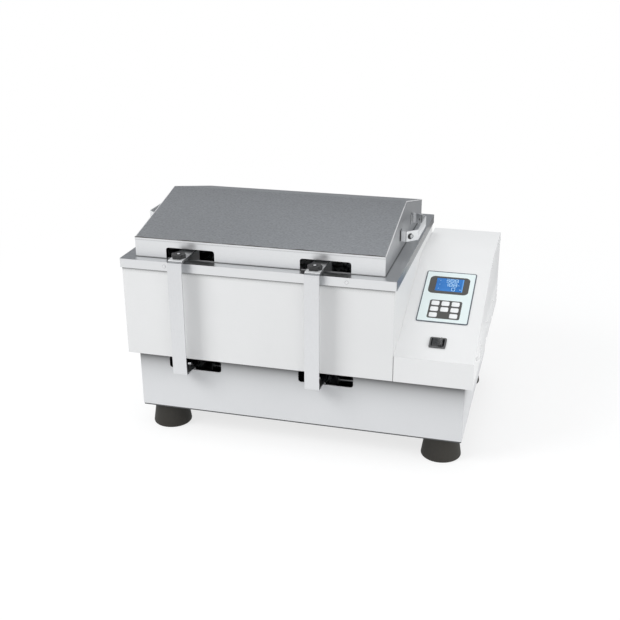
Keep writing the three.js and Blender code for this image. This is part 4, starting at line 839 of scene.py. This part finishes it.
def cross_head(name, radius, height, cross):
    """A domed screw head with a cross cut into it, its seat at height zero."""
    dome = [(0, -HEAD_SINK), (radius, -HEAD_SINK)]
    for step in range(HEAD_STEPS):
        angle = math.pi / 2 * step / HEAD_STEPS
        dome.append((radius * math.cos(angle) ** HEAD_FULLNESS,
                     HEAD_EDGE + (height - HEAD_EDGE) * math.sin(angle)))
    head = put_in_scene(name, tidy(turned(name, dome + [(0, height)], sides=SMALL_SIDES)))
    bar = rounded(-cross, cross, -CROSS_WIDTH, CROSS_WIDTH, CROSS_CORNER, steps=2)
    cutters = []
    for turn in (0, 90):
        tool = plate("cross", [bar], height - CROSS_DEPTH, height + CROSS_TOOL_RISE)
        tool.transform(Matrix.Rotation(math.radians(turn), 4, "Z"))
        cutters.append(put_in_scene("cross", tidy(tool)))
    for cutter in cutters:
        groove = head.modifiers.new("groove", "BOOLEAN")
        groove.object = cutter
        groove.solver = "EXACT"
    data = shape_of(head)
    for item in (head, *cutters):
        bpy.data.objects.remove(item)
    return data


handle_screw = cross_head("handle_screw", SCREW_RADIUS, SCREW_HEIGHT, CROSS_LENGTH)
washer = turned("washer", [
    (0, 0), (WASHER_RADIUS - WASHER_EDGE, 0), (WASHER_RADIUS, WASHER_EDGE),
    (WASHER_RADIUS, WASHER_HEIGHT - WASHER_EDGE), (WASHER_RADIUS - WASHER_EDGE, WASHER_HEIGHT),
    (0, WASHER_HEIGHT),
], sides=WASHER_SIDES)
half = HANDLE_LENGTH / 2
grip = -HANDLE_SHEET / 2
strap_outline = bent_strip([
    (grip - HANDLE_SLANT, -half), (grip, -half + HANDLE_SLANT),
    (grip, half - HANDLE_SLANT), (grip - HANDLE_SLANT, half),
], HANDLE_SHEET, radius=HANDLE_BEND)
along = HANDLE_SLANT * HANDLE_SCREW_SHARE
for hand, outward in (("left", -1), ("right", 1)):
    node = f"lid_handle_{hand}"
    low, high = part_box(node)
    middle_y = (low.y + high.y) / 2
    strap = plate(node, [strap_outline], low.z / MM, high.z / MM, edge=0.35)
    outer_x = high.x if outward > 0 else low.x
    spot = Matrix.Translation((outer_x, middle_y, 0))
    if outward < 0:
        spot = spot @ Matrix.Rotation(math.pi, 4, "Z")
    piece(f"handle_strap_{hand}", strap, handle_steel, "lid", [node], spot)
    level = (low.z + high.z) / 2
    seats = []
    for side in (-1, 1):
        out = Vector((1, side, 0)).normalized()
        centre = Vector((grip - HANDLE_SLANT + along, side * (half - along), level / MM)) * MM
        inward = Vector((-1, side, 0)).normalized()
        seats.append((out, inward, centre + out * HANDLE_SHEET / 2 * MM))
    # The washer sits off centre, so that it shows as a dark crescent beside the screw head, a painted
    # shade.
    shade_slipped = [facing(out, seat + inward * WASHER_SHADE_SLIP * MM) for out, inward, seat in seats]
    piece(f"handle_washers_{hand}", repeated("washers", washer, shade_slipped), washer_rubber, "lid",
          place=spot)
    lifted = [facing(out, seat + out * WASHER_HEIGHT * MM) for out, inward, seat in seats]
    piece(f"handle_screws_{hand}", repeated("screws", handle_screw, lifted), screw_steel, "lid",
          place=spot)


# Console. Front, slope, top and left wall are one folded cover. The louvred side panel and the rear
# panel are screwed on, and everything but the floor is painted like the casing. White sealant
# closes its seam with the casing.
PANEL_SCREW_RADIUS = 3.75
PANEL_SCREW_HEIGHT = 2.3
PANEL_CROSS = 2.3
SCREW_PAINT_TONES = ((0.585, 0.590, 0.590), (0.640, 0.645, 0.645))
SIDE_SCREWS = ((-174.85, 198.5), (44.45, 291.3), (213.35, 294.9))
REAR_SCREW_INSET = 10.0
CONSOLE_FRONT_HEIGHT = 46.8
SLOPE_RUN = 273.8
SEAM_RECESS = 0.06
SEAM_DEPTH = 2.0
SEAM_BEND = 2.0
SEAM_GAP = 0.02
SEALANT_TONES = ((0.76, 0.76, 0.76), (0.80, 0.80, 0.80))
sealant = finish("white_sealant", SEALANT_TONES, rough=(0.5, 0.6), grain=600, relief=0.00002)
dress(["console_cover", "console_side_panel", "console_rear_panel"], console_paint)
dress(["console_floor"], zinc)
screw_paint = finish("screw_paint", SCREW_PAINT_TONES, rough=(0.42, 0.52), grain=PAINT_GRAIN,
                     relief=0.000012)
painted_screw = cross_head("panel_screw", PANEL_SCREW_RADIUS, PANEL_SCREW_HEIGHT, PANEL_CROSS)
cover_low, cover_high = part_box("console_cover")
panel_spots = [facing((1, 0, 0), (cover_high.x, y * MM, z * MM)) for y, z in SIDE_SCREWS]
for x in (cover_low.x + REAR_SCREW_INSET * MM, cover_high.x - REAR_SCREW_INSET * MM):
    for z in (cover_low.z + REAR_SCREW_INSET * MM, cover_high.z - REAR_SCREW_INSET * MM):
        panel_spots.append(facing((0, 1, 0), (x, cover_high.y, z)))
piece("panel_screws", repeated("panel_screws", painted_screw, panel_spots), screw_paint, "base")
slope_angle = math.atan2(cover_high.z - cover_low.z - CONSOLE_FRONT_HEIGHT * MM, SLOPE_RUN * MM)
deep = SEAM_RECESS + SEAM_DEPTH / 2
seam_front, seam_top = cover_low.y / MM + deep, cover_high.z / MM - deep
front_inset = deep * math.tan(math.pi / 4 - slope_angle / 2)
top_inset = deep * math.tan(slope_angle / 2)
seam_outline = bent_strip([
    (seam_front, cover_low.z / MM),
    (seam_front, cover_low.z / MM + CONSOLE_FRONT_HEIGHT - front_inset),
    (cover_low.y / MM + SLOPE_RUN + top_inset, seam_top),
    (casing_high.y / MM - deep, seam_top),
], SEAM_DEPTH, radius=SEAM_BEND)
seam = plate("console_seam", [seam_outline], casing_high.x / MM + SEAM_GAP, cover_low.x / MM - SEAM_GAP)
seam.transform(TO_X)
piece("console_seam", seam, sealant, "base")


# Control board. A green glass-fibre board with a transformer, relays and capacitors soldered to
# it. It stands on posts on the console's floor.
BOARD_TONES = ((0.012, 0.085, 0.030), (0.030, 0.150, 0.060))
circuit_board = finish("circuit_board", BOARD_TONES, rough=(0.35, 0.60), grain=260, relief=0.00005,
                       drift=0.4, drift_scale=60.0)
dress(["control_board"], circuit_board, edge=0.5)


# Control overlay. A polyester film stuck on the slope, printed from behind: a dark border, a pale
# field, and dark fields round the display window and the keys.
OVERLAY_LEFT = 20.0
OVERLAY_UP = 96.3
OVERLAY_WIDTH = 92.0
OVERLAY_HEIGHT = 142.0
OVERLAY_LOW = 0.3
OVERLAY_TOP = 1.3
OVERLAY_CORNER = 3.8
OVERLAY_BORDER = 1.9
PRINT = 0.1
WINDOW = (20.85, 71.15, 86.2, 123.4)  # left, right, low and high
WINDOW_CORNER = 0.6
BEZEL = (8.7, 82.0, 78.6, 127.7)
BEZEL_CORNER = 9.0
KEY_FIELD = (17.6, 75.6, 10.0, 60.2)
KEY_FIELD_CORNER = 4.0
KEY_WIDTH = 14.1
KEY_HEIGHT = 11.8
KEY_CORNER = 2.5
KEY_PITCH_X = 18.15
KEY_PITCH_Y = 16.1
KEY_UP = 13.5
KEY_PLACES = ((-1, 2), (0, 2), (1, 2), (-1, 1), (0, 1), (1, 1), (-1, 0), (1, 0))
CUTOUT_GAP = 0.3
FILM_ROUGH = (0.26, 0.36)
FILM_GRAIN = 1500
FILM_RELIEF = 0.000004
BORDER_TONES = ((0.075, 0.090, 0.112), (0.095, 0.112, 0.138))
FIELD_TONES = ((0.730, 0.820, 0.817), (0.760, 0.845, 0.842))
DARK_TONES = ((0.080, 0.078, 0.074), (0.095, 0.093, 0.088))
border_print, field_print, dark_print = [
    finish(name, tones, rough=FILM_ROUGH, grain=FILM_GRAIN, relief=FILM_RELIEF)
    for name, tones in (("border_print", BORDER_TONES), ("field_print", FIELD_TONES),
                        ("dark_print", DARK_TONES))
]
on_slope = (Matrix.Translation((cover_low.x, cover_low.y, cover_low.z + CONSOLE_FRONT_HEIGHT * MM))
            @ Matrix.Rotation(slope_angle, 4, "X"))
on_overlay = on_slope @ Matrix.Translation((OVERLAY_LEFT * MM, OVERLAY_UP * MM, 0))


def key_outline(place, grow):
    x = OVERLAY_WIDTH / 2 + place[0] * KEY_PITCH_X
    y = KEY_UP + KEY_HEIGHT / 2 + place[1] * KEY_PITCH_Y
    wide, high = KEY_WIDTH / 2 + grow, KEY_HEIGHT / 2 + grow
    return rounded(x - wide, x + wide, y - high, y + high, KEY_CORNER + grow)


overlay_rim = rounded(0, OVERLAY_WIDTH, 0, OVERLAY_HEIGHT, OVERLAY_CORNER)
field_rim = rounded(OVERLAY_BORDER, OVERLAY_WIDTH - OVERLAY_BORDER, OVERLAY_BORDER,
                    OVERLAY_HEIGHT - OVERLAY_BORDER, OVERLAY_CORNER - OVERLAY_BORDER)
window_rim = rounded(*WINDOW, WINDOW_CORNER, steps=2)
bezel_rim = rounded(*BEZEL, BEZEL_CORNER, steps=10)
key_field_rim = rounded(*KEY_FIELD, KEY_FIELD_CORNER)
key_holes = [key_outline(place, CUTOUT_GAP) for place in KEY_PLACES]
printed = OVERLAY_TOP - PRINT
film = plate("overlay_film", [overlay_rim, window_rim, *key_holes], OVERLAY_LOW, printed)
border = plate("overlay_border", [overlay_rim, field_rim], printed, OVERLAY_TOP)
field = plate("overlay_field", [field_rim, bezel_rim, key_field_rim], printed, OVERLAY_TOP)
dark_fields = merged("overlay_dark_fields", [
    plate("bezel", [bezel_rim, window_rim], printed, OVERLAY_TOP),
    plate("key_field", [key_field_rim, *key_holes], printed, OVERLAY_TOP),
])
piece("overlay_film", film, border_print, "base", ["overlay_panel"], on_overlay)
piece("overlay_border", border, border_print, "base", place=on_overlay)
piece("overlay_field", field, field_print, "base", place=on_overlay)
piece("overlay_dark_fields", dark_fields, dark_print, "base", place=on_overlay)


# Display. A backlit blue panel with pale seven-segment numbers. It is soldered to the key board,
# which sits behind the overlay's window.
GLASS_LOW = 0.95
GLASS_TOP = 1.05
GLASS_CORNER = 0.5
DIGIT_RISE = 0.06
DIGIT_SINK = 0.02
DIGIT_WIDTH = 5.8
DIGIT_HEIGHT = 8.6
DIGIT_PITCH = 8.1
STROKE = 0.7
MARK_CORNER = 0.3
BAR_GAP = STROKE * 0.62
BAR_CORNER = STROKE * 0.42
DIGIT_ROWS = (("388", 17.6, 26.6), ("188", 16.2, 14.6), ("0", 30.2, 2.6))
MARKS = ((6.4, 30.2, 1.6, 0.6), (6.4, 18.6, 1.6, 0.6), (5.2, 6.8, 1.6, 0.6), (41.0, 18.4, 1.8, 0.6),
         (44.0, 6.4, 4.0, 0.7))
SEGMENTS = {"0": "abcdef", "1": "bc", "3": "abcdg", "8": "abcdefg"}
BLUE_TONES = ((0.026, 0.135, 0.400), (0.044, 0.185, 0.500))
PALE_BLUE = (0.13, 0.36, 0.76)
DIGIT_TONES = ((0.52, 0.80, 0.92), (0.64, 0.88, 0.96))
BACK_TONES = ((0.05, 0.06, 0.07), (0.08, 0.09, 0.10))
BACKLIGHT = 0.2
PALE_EDGE = (67.8, 70.5)
display_back = finish("display_back", BACK_TONES, rough=(0.4, 0.5), grain=400, relief=0.00002)
lit_blue = finish("lit_blue", BLUE_TONES, rough=(0.08, 0.14), grain=120, drift=0.75,
                  drift_scale=35.0)
lit_digits = finish("lit_digits", DIGIT_TONES, rough=(0.2, 0.3), grain=900)


def backlight(skin, strength, pale_edge=None):
    """Lets a finish glow in its own colour, and grow paler from one X in mm to another."""
    tree = skin.node_tree
    look = tree.nodes["Principled BSDF"]
    tone = look.inputs["Base Color"].links[0].from_socket
    if pale_edge:
        start, end = pale_edge
        near = add_range(tree, axis_of(tree, place_on(tree), "X"), start * MM, end * MM,
                         interpolation_type="SMOOTHSTEP")
        tone = add_colour_mix(tree, near, tone, PALE_BLUE)
        tree.links.new(tone, look.inputs["Base Color"])
    tree.links.new(tone, look.inputs["Emission Color"])
    look.inputs["Emission Strength"].default_value = strength


backlight(lit_blue, BACKLIGHT, PALE_EDGE)
backlight(lit_digits, BACKLIGHT)
dress(["display_module"], display_back, edge=0.0)


def digit_bars(character, left, low):
    """The outlines of a number's lit bars, from its lower left corner."""
    right, middle, high = left + DIGIT_WIDTH, low + DIGIT_HEIGHT / 2, low + DIGIT_HEIGHT
    half, gap = STROKE / 2, BAR_GAP
    bars = {
        "a": (left + gap, right - gap, high - half, high + half),
        "g": (left + gap, right - gap, middle - half, middle + half),
        "d": (left + gap, right - gap, low - half, low + half),
        "b": (right - half, right + half, middle + gap, high - gap),
        "c": (right - half, right + half, low + gap, middle - gap),
        "f": (left - half, left + half, middle + gap, high - gap),
        "e": (left - half, left + half, low + gap, middle - gap),
    }
    return [rounded(*bars[lit], BAR_CORNER, 2) for lit in SEGMENTS[character]]


window_left, window_right, window_low, window_high = WINDOW
shown = [rounded(window_left + x, window_left + x + wide, window_low + y, window_low + y + high,
                 MARK_CORNER, steps=2) for x, y, wide, high in MARKS]
for number, left, low in DIGIT_ROWS:
    for i, character in enumerate(number):
        shown += digit_bars(character, window_left + left + i * DIGIT_PITCH, window_low + low)
glass_rim = rounded(window_left + CUTOUT_GAP, window_right - CUTOUT_GAP,
                    window_low + CUTOUT_GAP, window_high - CUTOUT_GAP, GLASS_CORNER, steps=2)
glass = plate("display_glass", [glass_rim], GLASS_LOW, GLASS_TOP)
digits = plate("display_digits", shown, GLASS_TOP - DIGIT_SINK, GLASS_TOP + DIGIT_RISE)
piece("display_glass", glass, lit_blue, "base", place=on_overlay)
piece("display_digits", digits, lit_digits, "base", place=on_overlay)


# Membrane keys. Eight white pads embossed in polyester film, each softly crowned. They sink a
# little onto the contacts of the key board.
KEY_LOW = -1.2
KEY_TOP = 1.7
KEY_CROWN = 0.55
KEY_TONES = ((0.82, 0.83, 0.83), (0.87, 0.88, 0.88))
key_film = finish("key_film", KEY_TONES, rough=(0.30, 0.42), grain=FILM_GRAIN, relief=0.000006)
for number, place in enumerate(KEY_PLACES, 1):
    key_pad = plate("key_pad", [key_outline(place, 0)], KEY_LOW, KEY_TOP, edge=KEY_CROWN)
    piece(f"key_pad_{number}", key_pad, key_film, f"key_{number}", [f"key_{number}"],
          on_overlay)


# Power switch. A glossy black rocker in a moulded frame that clips into the slope. Its left half is
# pressed, so the right half stands up out of the frame.
ROCKER_UP = 44.0
ROCKER_PIVOT = 2.0
ROCKER_HALF = 9.8
ROCKER_SHOULDER = 0.6
ROCKER_TIP_HALF = 7.9
ROCKER_TIP = 5.6
ROCKER_VALLEY = 2.4
ROCKER_SIDE = 3.0
ROCKER_BELLY = 8.0
ROCKER_BELLY_HALF = 4.0
ROCKER_DEPTH = 18.3
ROCKER_TILT = 14.0
ROCKER_STEPS = 8
FRAME_TONES = ((0.085, 0.086, 0.088), (0.115, 0.116, 0.118))
PADDLE_TONES = ((0.030, 0.031, 0.032), (0.048, 0.049, 0.051))
# Painted shade in the hollow corners of the frame and the rocker
SWITCH_CREASE_SHADE = (0.004, 2.0)
# Stands a flat drawing up, so that its X and Y run along X and Z, and its thickness along Y
TO_Y = Matrix(((1, 0, 0, 0), (0, 0, -1, 0), (0, 1, 0, 0), (0, 0, 0, 1)))
switch_frame = finish("switch_frame", FRAME_TONES, rough=(0.34, 0.46), grain=800, relief=0.00002,
                      crease_shade=SWITCH_CREASE_SHADE)
switch_plastic = finish("switch_plastic", PADDLE_TONES, rough=(0.22, 0.32), grain=800,
                        relief=0.00001, crease_shade=SWITCH_CREASE_SHADE)
dress(["rocker_housing"], switch_frame, edge=0.4)
paddle_outline = [(-ROCKER_HALF, -ROCKER_SIDE), (-ROCKER_BELLY_HALF, -ROCKER_BELLY),
                  (ROCKER_BELLY_HALF, -ROCKER_BELLY), (ROCKER_HALF, -ROCKER_SIDE),
                  (ROCKER_HALF, ROCKER_SHOULDER)]
for step in range(2 * ROCKER_STEPS + 1):
    across = 1 - step / ROCKER_STEPS
    top = ROCKER_VALLEY + (ROCKER_TIP - ROCKER_VALLEY) * across ** 2
    paddle_outline.append((ROCKER_TIP_HALF * across, top))
paddle_outline.append((-ROCKER_HALF, ROCKER_SHOULDER))
paddle = plate("rocker_paddle", [paddle_outline], -ROCKER_DEPTH / 2, ROCKER_DEPTH / 2, edge=0.5)
paddle.transform(TO_Y)
paddle.transform(Matrix.Rotation(math.radians(-ROCKER_TILT), 4, "Y")
                 @ Matrix.Translation((0, 0, ROCKER_PIVOT * MM)))
console_middle = (cover_high.x - cover_low.x) / 2
at_pivot = on_slope @ Matrix.Translation((console_middle, ROCKER_UP * MM, -ROCKER_PIVOT * MM))
piece("switch_paddle", paddle, switch_plastic, "rocker", ["rocker_paddle"], at_pivot)


# Mains inlet. A black moulded plastic socket with three pins, held in a cut-out of the rear
# panel.
dress(["power_inlet"], black_plastic, edge=0.3)


# Studio. A white sweep under soft light. The key lamp, at the upper left, leaves out the console,
# where the lid would throw its shadow, and two lamps light the console alone. Grey cards over and
# behind the bath, and on the floor there, show in its steel and in nothing else.
FLOOR_HALF = 8.0
FLOOR_PAPER = (0.80, 0.80, 0.80, 1.0)
FLOOR_SEEN = (0.30, 0.30, 0.30, 1.0)
FLOOR_LIFT = 0.74
FLOOR_FADE = (0.5, 1.5)
SKY_COLOUR = (0.97, 0.985, 1.0, 1.0)
SKY_STRENGTH = 0.62
WHITE = (1.0, 1.0, 1.0, 1.0)
LAMP_AIM = Vector((0.0, 0.0, 0.22))
LAMPS = {  # place in metres, watts and side
    "key_lamp": (Vector((-2.9, -2.5, 2.7)), 106.0, 2.0),
    "fill_lamp": (Vector((2.6, -0.4, 0.9)), 20.0, 1.5),
    "console_front_lamp": (Vector((1.4, -2.6, 0.9)), 26.0, 1.5),
    "console_top_lamp": (Vector((-0.3, 0.9, 2.4)), 30.0, 2.0),
}
GREY_CARDS = {  # colour, left, right, front, back, low and high in metres
    "card_above": ((0.295, 0.310, 0.328), -1.3, 3.2, 0.5, 3.4, 3.0, 3.0),
    "card_above_left": ((0.165, 0.173, 0.184), -3.2, -1.3, 0.5, 3.4, 3.0, 3.0),
    "card_behind": ((0.290, 0.300, 0.315), -3.2, 3.2, 3.4, 3.4, 0.75, 3.0),
    "card_behind_foot": ((0.120, 0.125, 0.130), -3.2, 3.2, 3.4, 3.4, 0.02, 0.75),
    "card_beside": ((0.345, 0.352, 0.362), -3.2, 3.2, 0.4, 3.4, 0.02, 0.02),
}


def shown_as_backdrop(tree, plain, backdrop):
    """Mixes in a backdrop that camera, glossy and transmission rays see in place of the plain one."""
    camera_ray = add_node(tree, "LightPath", {}, "Is Camera Ray")
    glossy_ray = add_node(tree, "LightPath", {}, "Is Glossy Ray")
    clear_ray = add_node(tree, "LightPath", {}, "Is Transmission Ray")
    seen = add_math(tree, "MAXIMUM", add_math(tree, "MAXIMUM", camera_ray, glossy_ray), clear_ray)
    return add_node(tree, "MixShader", {0: seen, 1: plain, 2: backdrop})


world = bpy.data.worlds.new("studio")
bpy.context.scene.world = world
world.use_nodes = True
sky = world.node_tree
sky.nodes.clear()
ambient = add_node(sky, "Background", {"Color": SKY_COLOUR, "Strength": SKY_STRENGTH})
backdrop = add_node(sky, "Background", {"Color": WHITE, "Strength": 1.0})
add_node(sky, "OutputWorld", {0: shown_as_backdrop(sky, ambient, backdrop)})


def lamp(name):
    """A square lamp that is aimed at the bath and doesn't show in shiny surfaces."""
    place, power, size = LAMPS[name]
    data = bpy.data.lights.new(name, "AREA")
    data.energy = power
    data.size = size
    item = put_in_scene(name, data)
    item.location = place
    item.rotation_euler = (LAMP_AIM - place).to_track_quat("-Z", "Y").to_euler()
    item.visible_glossy = False
    return item


def aimed_at(light, pieces, state):
    """Lets a lamp light these pieces alone, or everything but them."""
    group = bpy.data.collections.new(light.name + "_pieces")
    for item in pieces:
        group.objects.link(item)
    for member in group.collection_objects:
        member.light_linking.link_state = state
    light.light_linking.receiver_collection = group


def left_end(item):
    return min((item.matrix_world @ Vector(corner)).x for corner in item.bound_box)


console_pieces = [item for item in bpy.context.scene.objects
                  if item.type == "MESH" and left_end(item) > casing_high.x]
lamp("fill_lamp")
aimed_at(lamp("key_lamp"), console_pieces, "EXCLUDE")
aimed_at(lamp("console_front_lamp"), console_pieces, "INCLUDE")
aimed_at(lamp("console_top_lamp"), console_pieces, "INCLUDE")


def card(name, sides, skin):
    """A flat card of the studio, upright where front and back agree, and lying otherwise."""
    left, right, front, back, low, high = sides
    data = bpy.data.meshes.new(name)
    data.from_pydata([(left, front, low), (right, front, low), (right, back, high), (left, back, high)],
                     [], [(0, 1, 2, 3)])
    data.materials.append(skin)
    item = put_in_scene(name, data)
    return item


def bare_finish(name):
    """A material with no nodes yet, and its node tree."""
    skin = bpy.data.materials.new(name)
    skin.use_nodes = True
    skin.node_tree.nodes.clear()
    return skin, skin.node_tree


floor_paper, tree = bare_finish("floor")
paper = add_node(tree, "BsdfDiffuse", {"Color": FLOOR_PAPER})
lifted = add_node(tree, "AddShader", {0: add_node(tree, "BsdfDiffuse", {"Color": FLOOR_SEEN}),
                                      1: add_node(tree, "Emission", {"Strength": FLOOR_LIFT})})
away = add_node(tree, "VectorMath", {0: place_on(tree)}, operation="LENGTH")
fade = add_range(tree, away, *FLOOR_FADE, interpolation_type="SMOOTHSTEP")
white = add_node(tree, "Emission", {"Strength": 1.0})
sweep = add_node(tree, "MixShader", {0: fade, 1: lifted, 2: white})
add_node(tree, "OutputMaterial", {0: shown_as_backdrop(tree, paper, sweep)})
card("floor", (-FLOOR_HALF, FLOOR_HALF, -FLOOR_HALF, FLOOR_HALF, 0, 0), floor_paper)
for name, (shade, *sides) in GREY_CARDS.items():
    grey, tree = bare_finish(name)
    add_node(tree, "OutputMaterial", {0: add_node(tree, "Emission", {"Color": (*shade, 1.0)})})
    grey_card = card(name, sides, grey)
    for ray in ("camera", "diffuse", "transmission", "shadow", "volume_scatter"):
        setattr(grey_card, f"visible_{ray}", False)
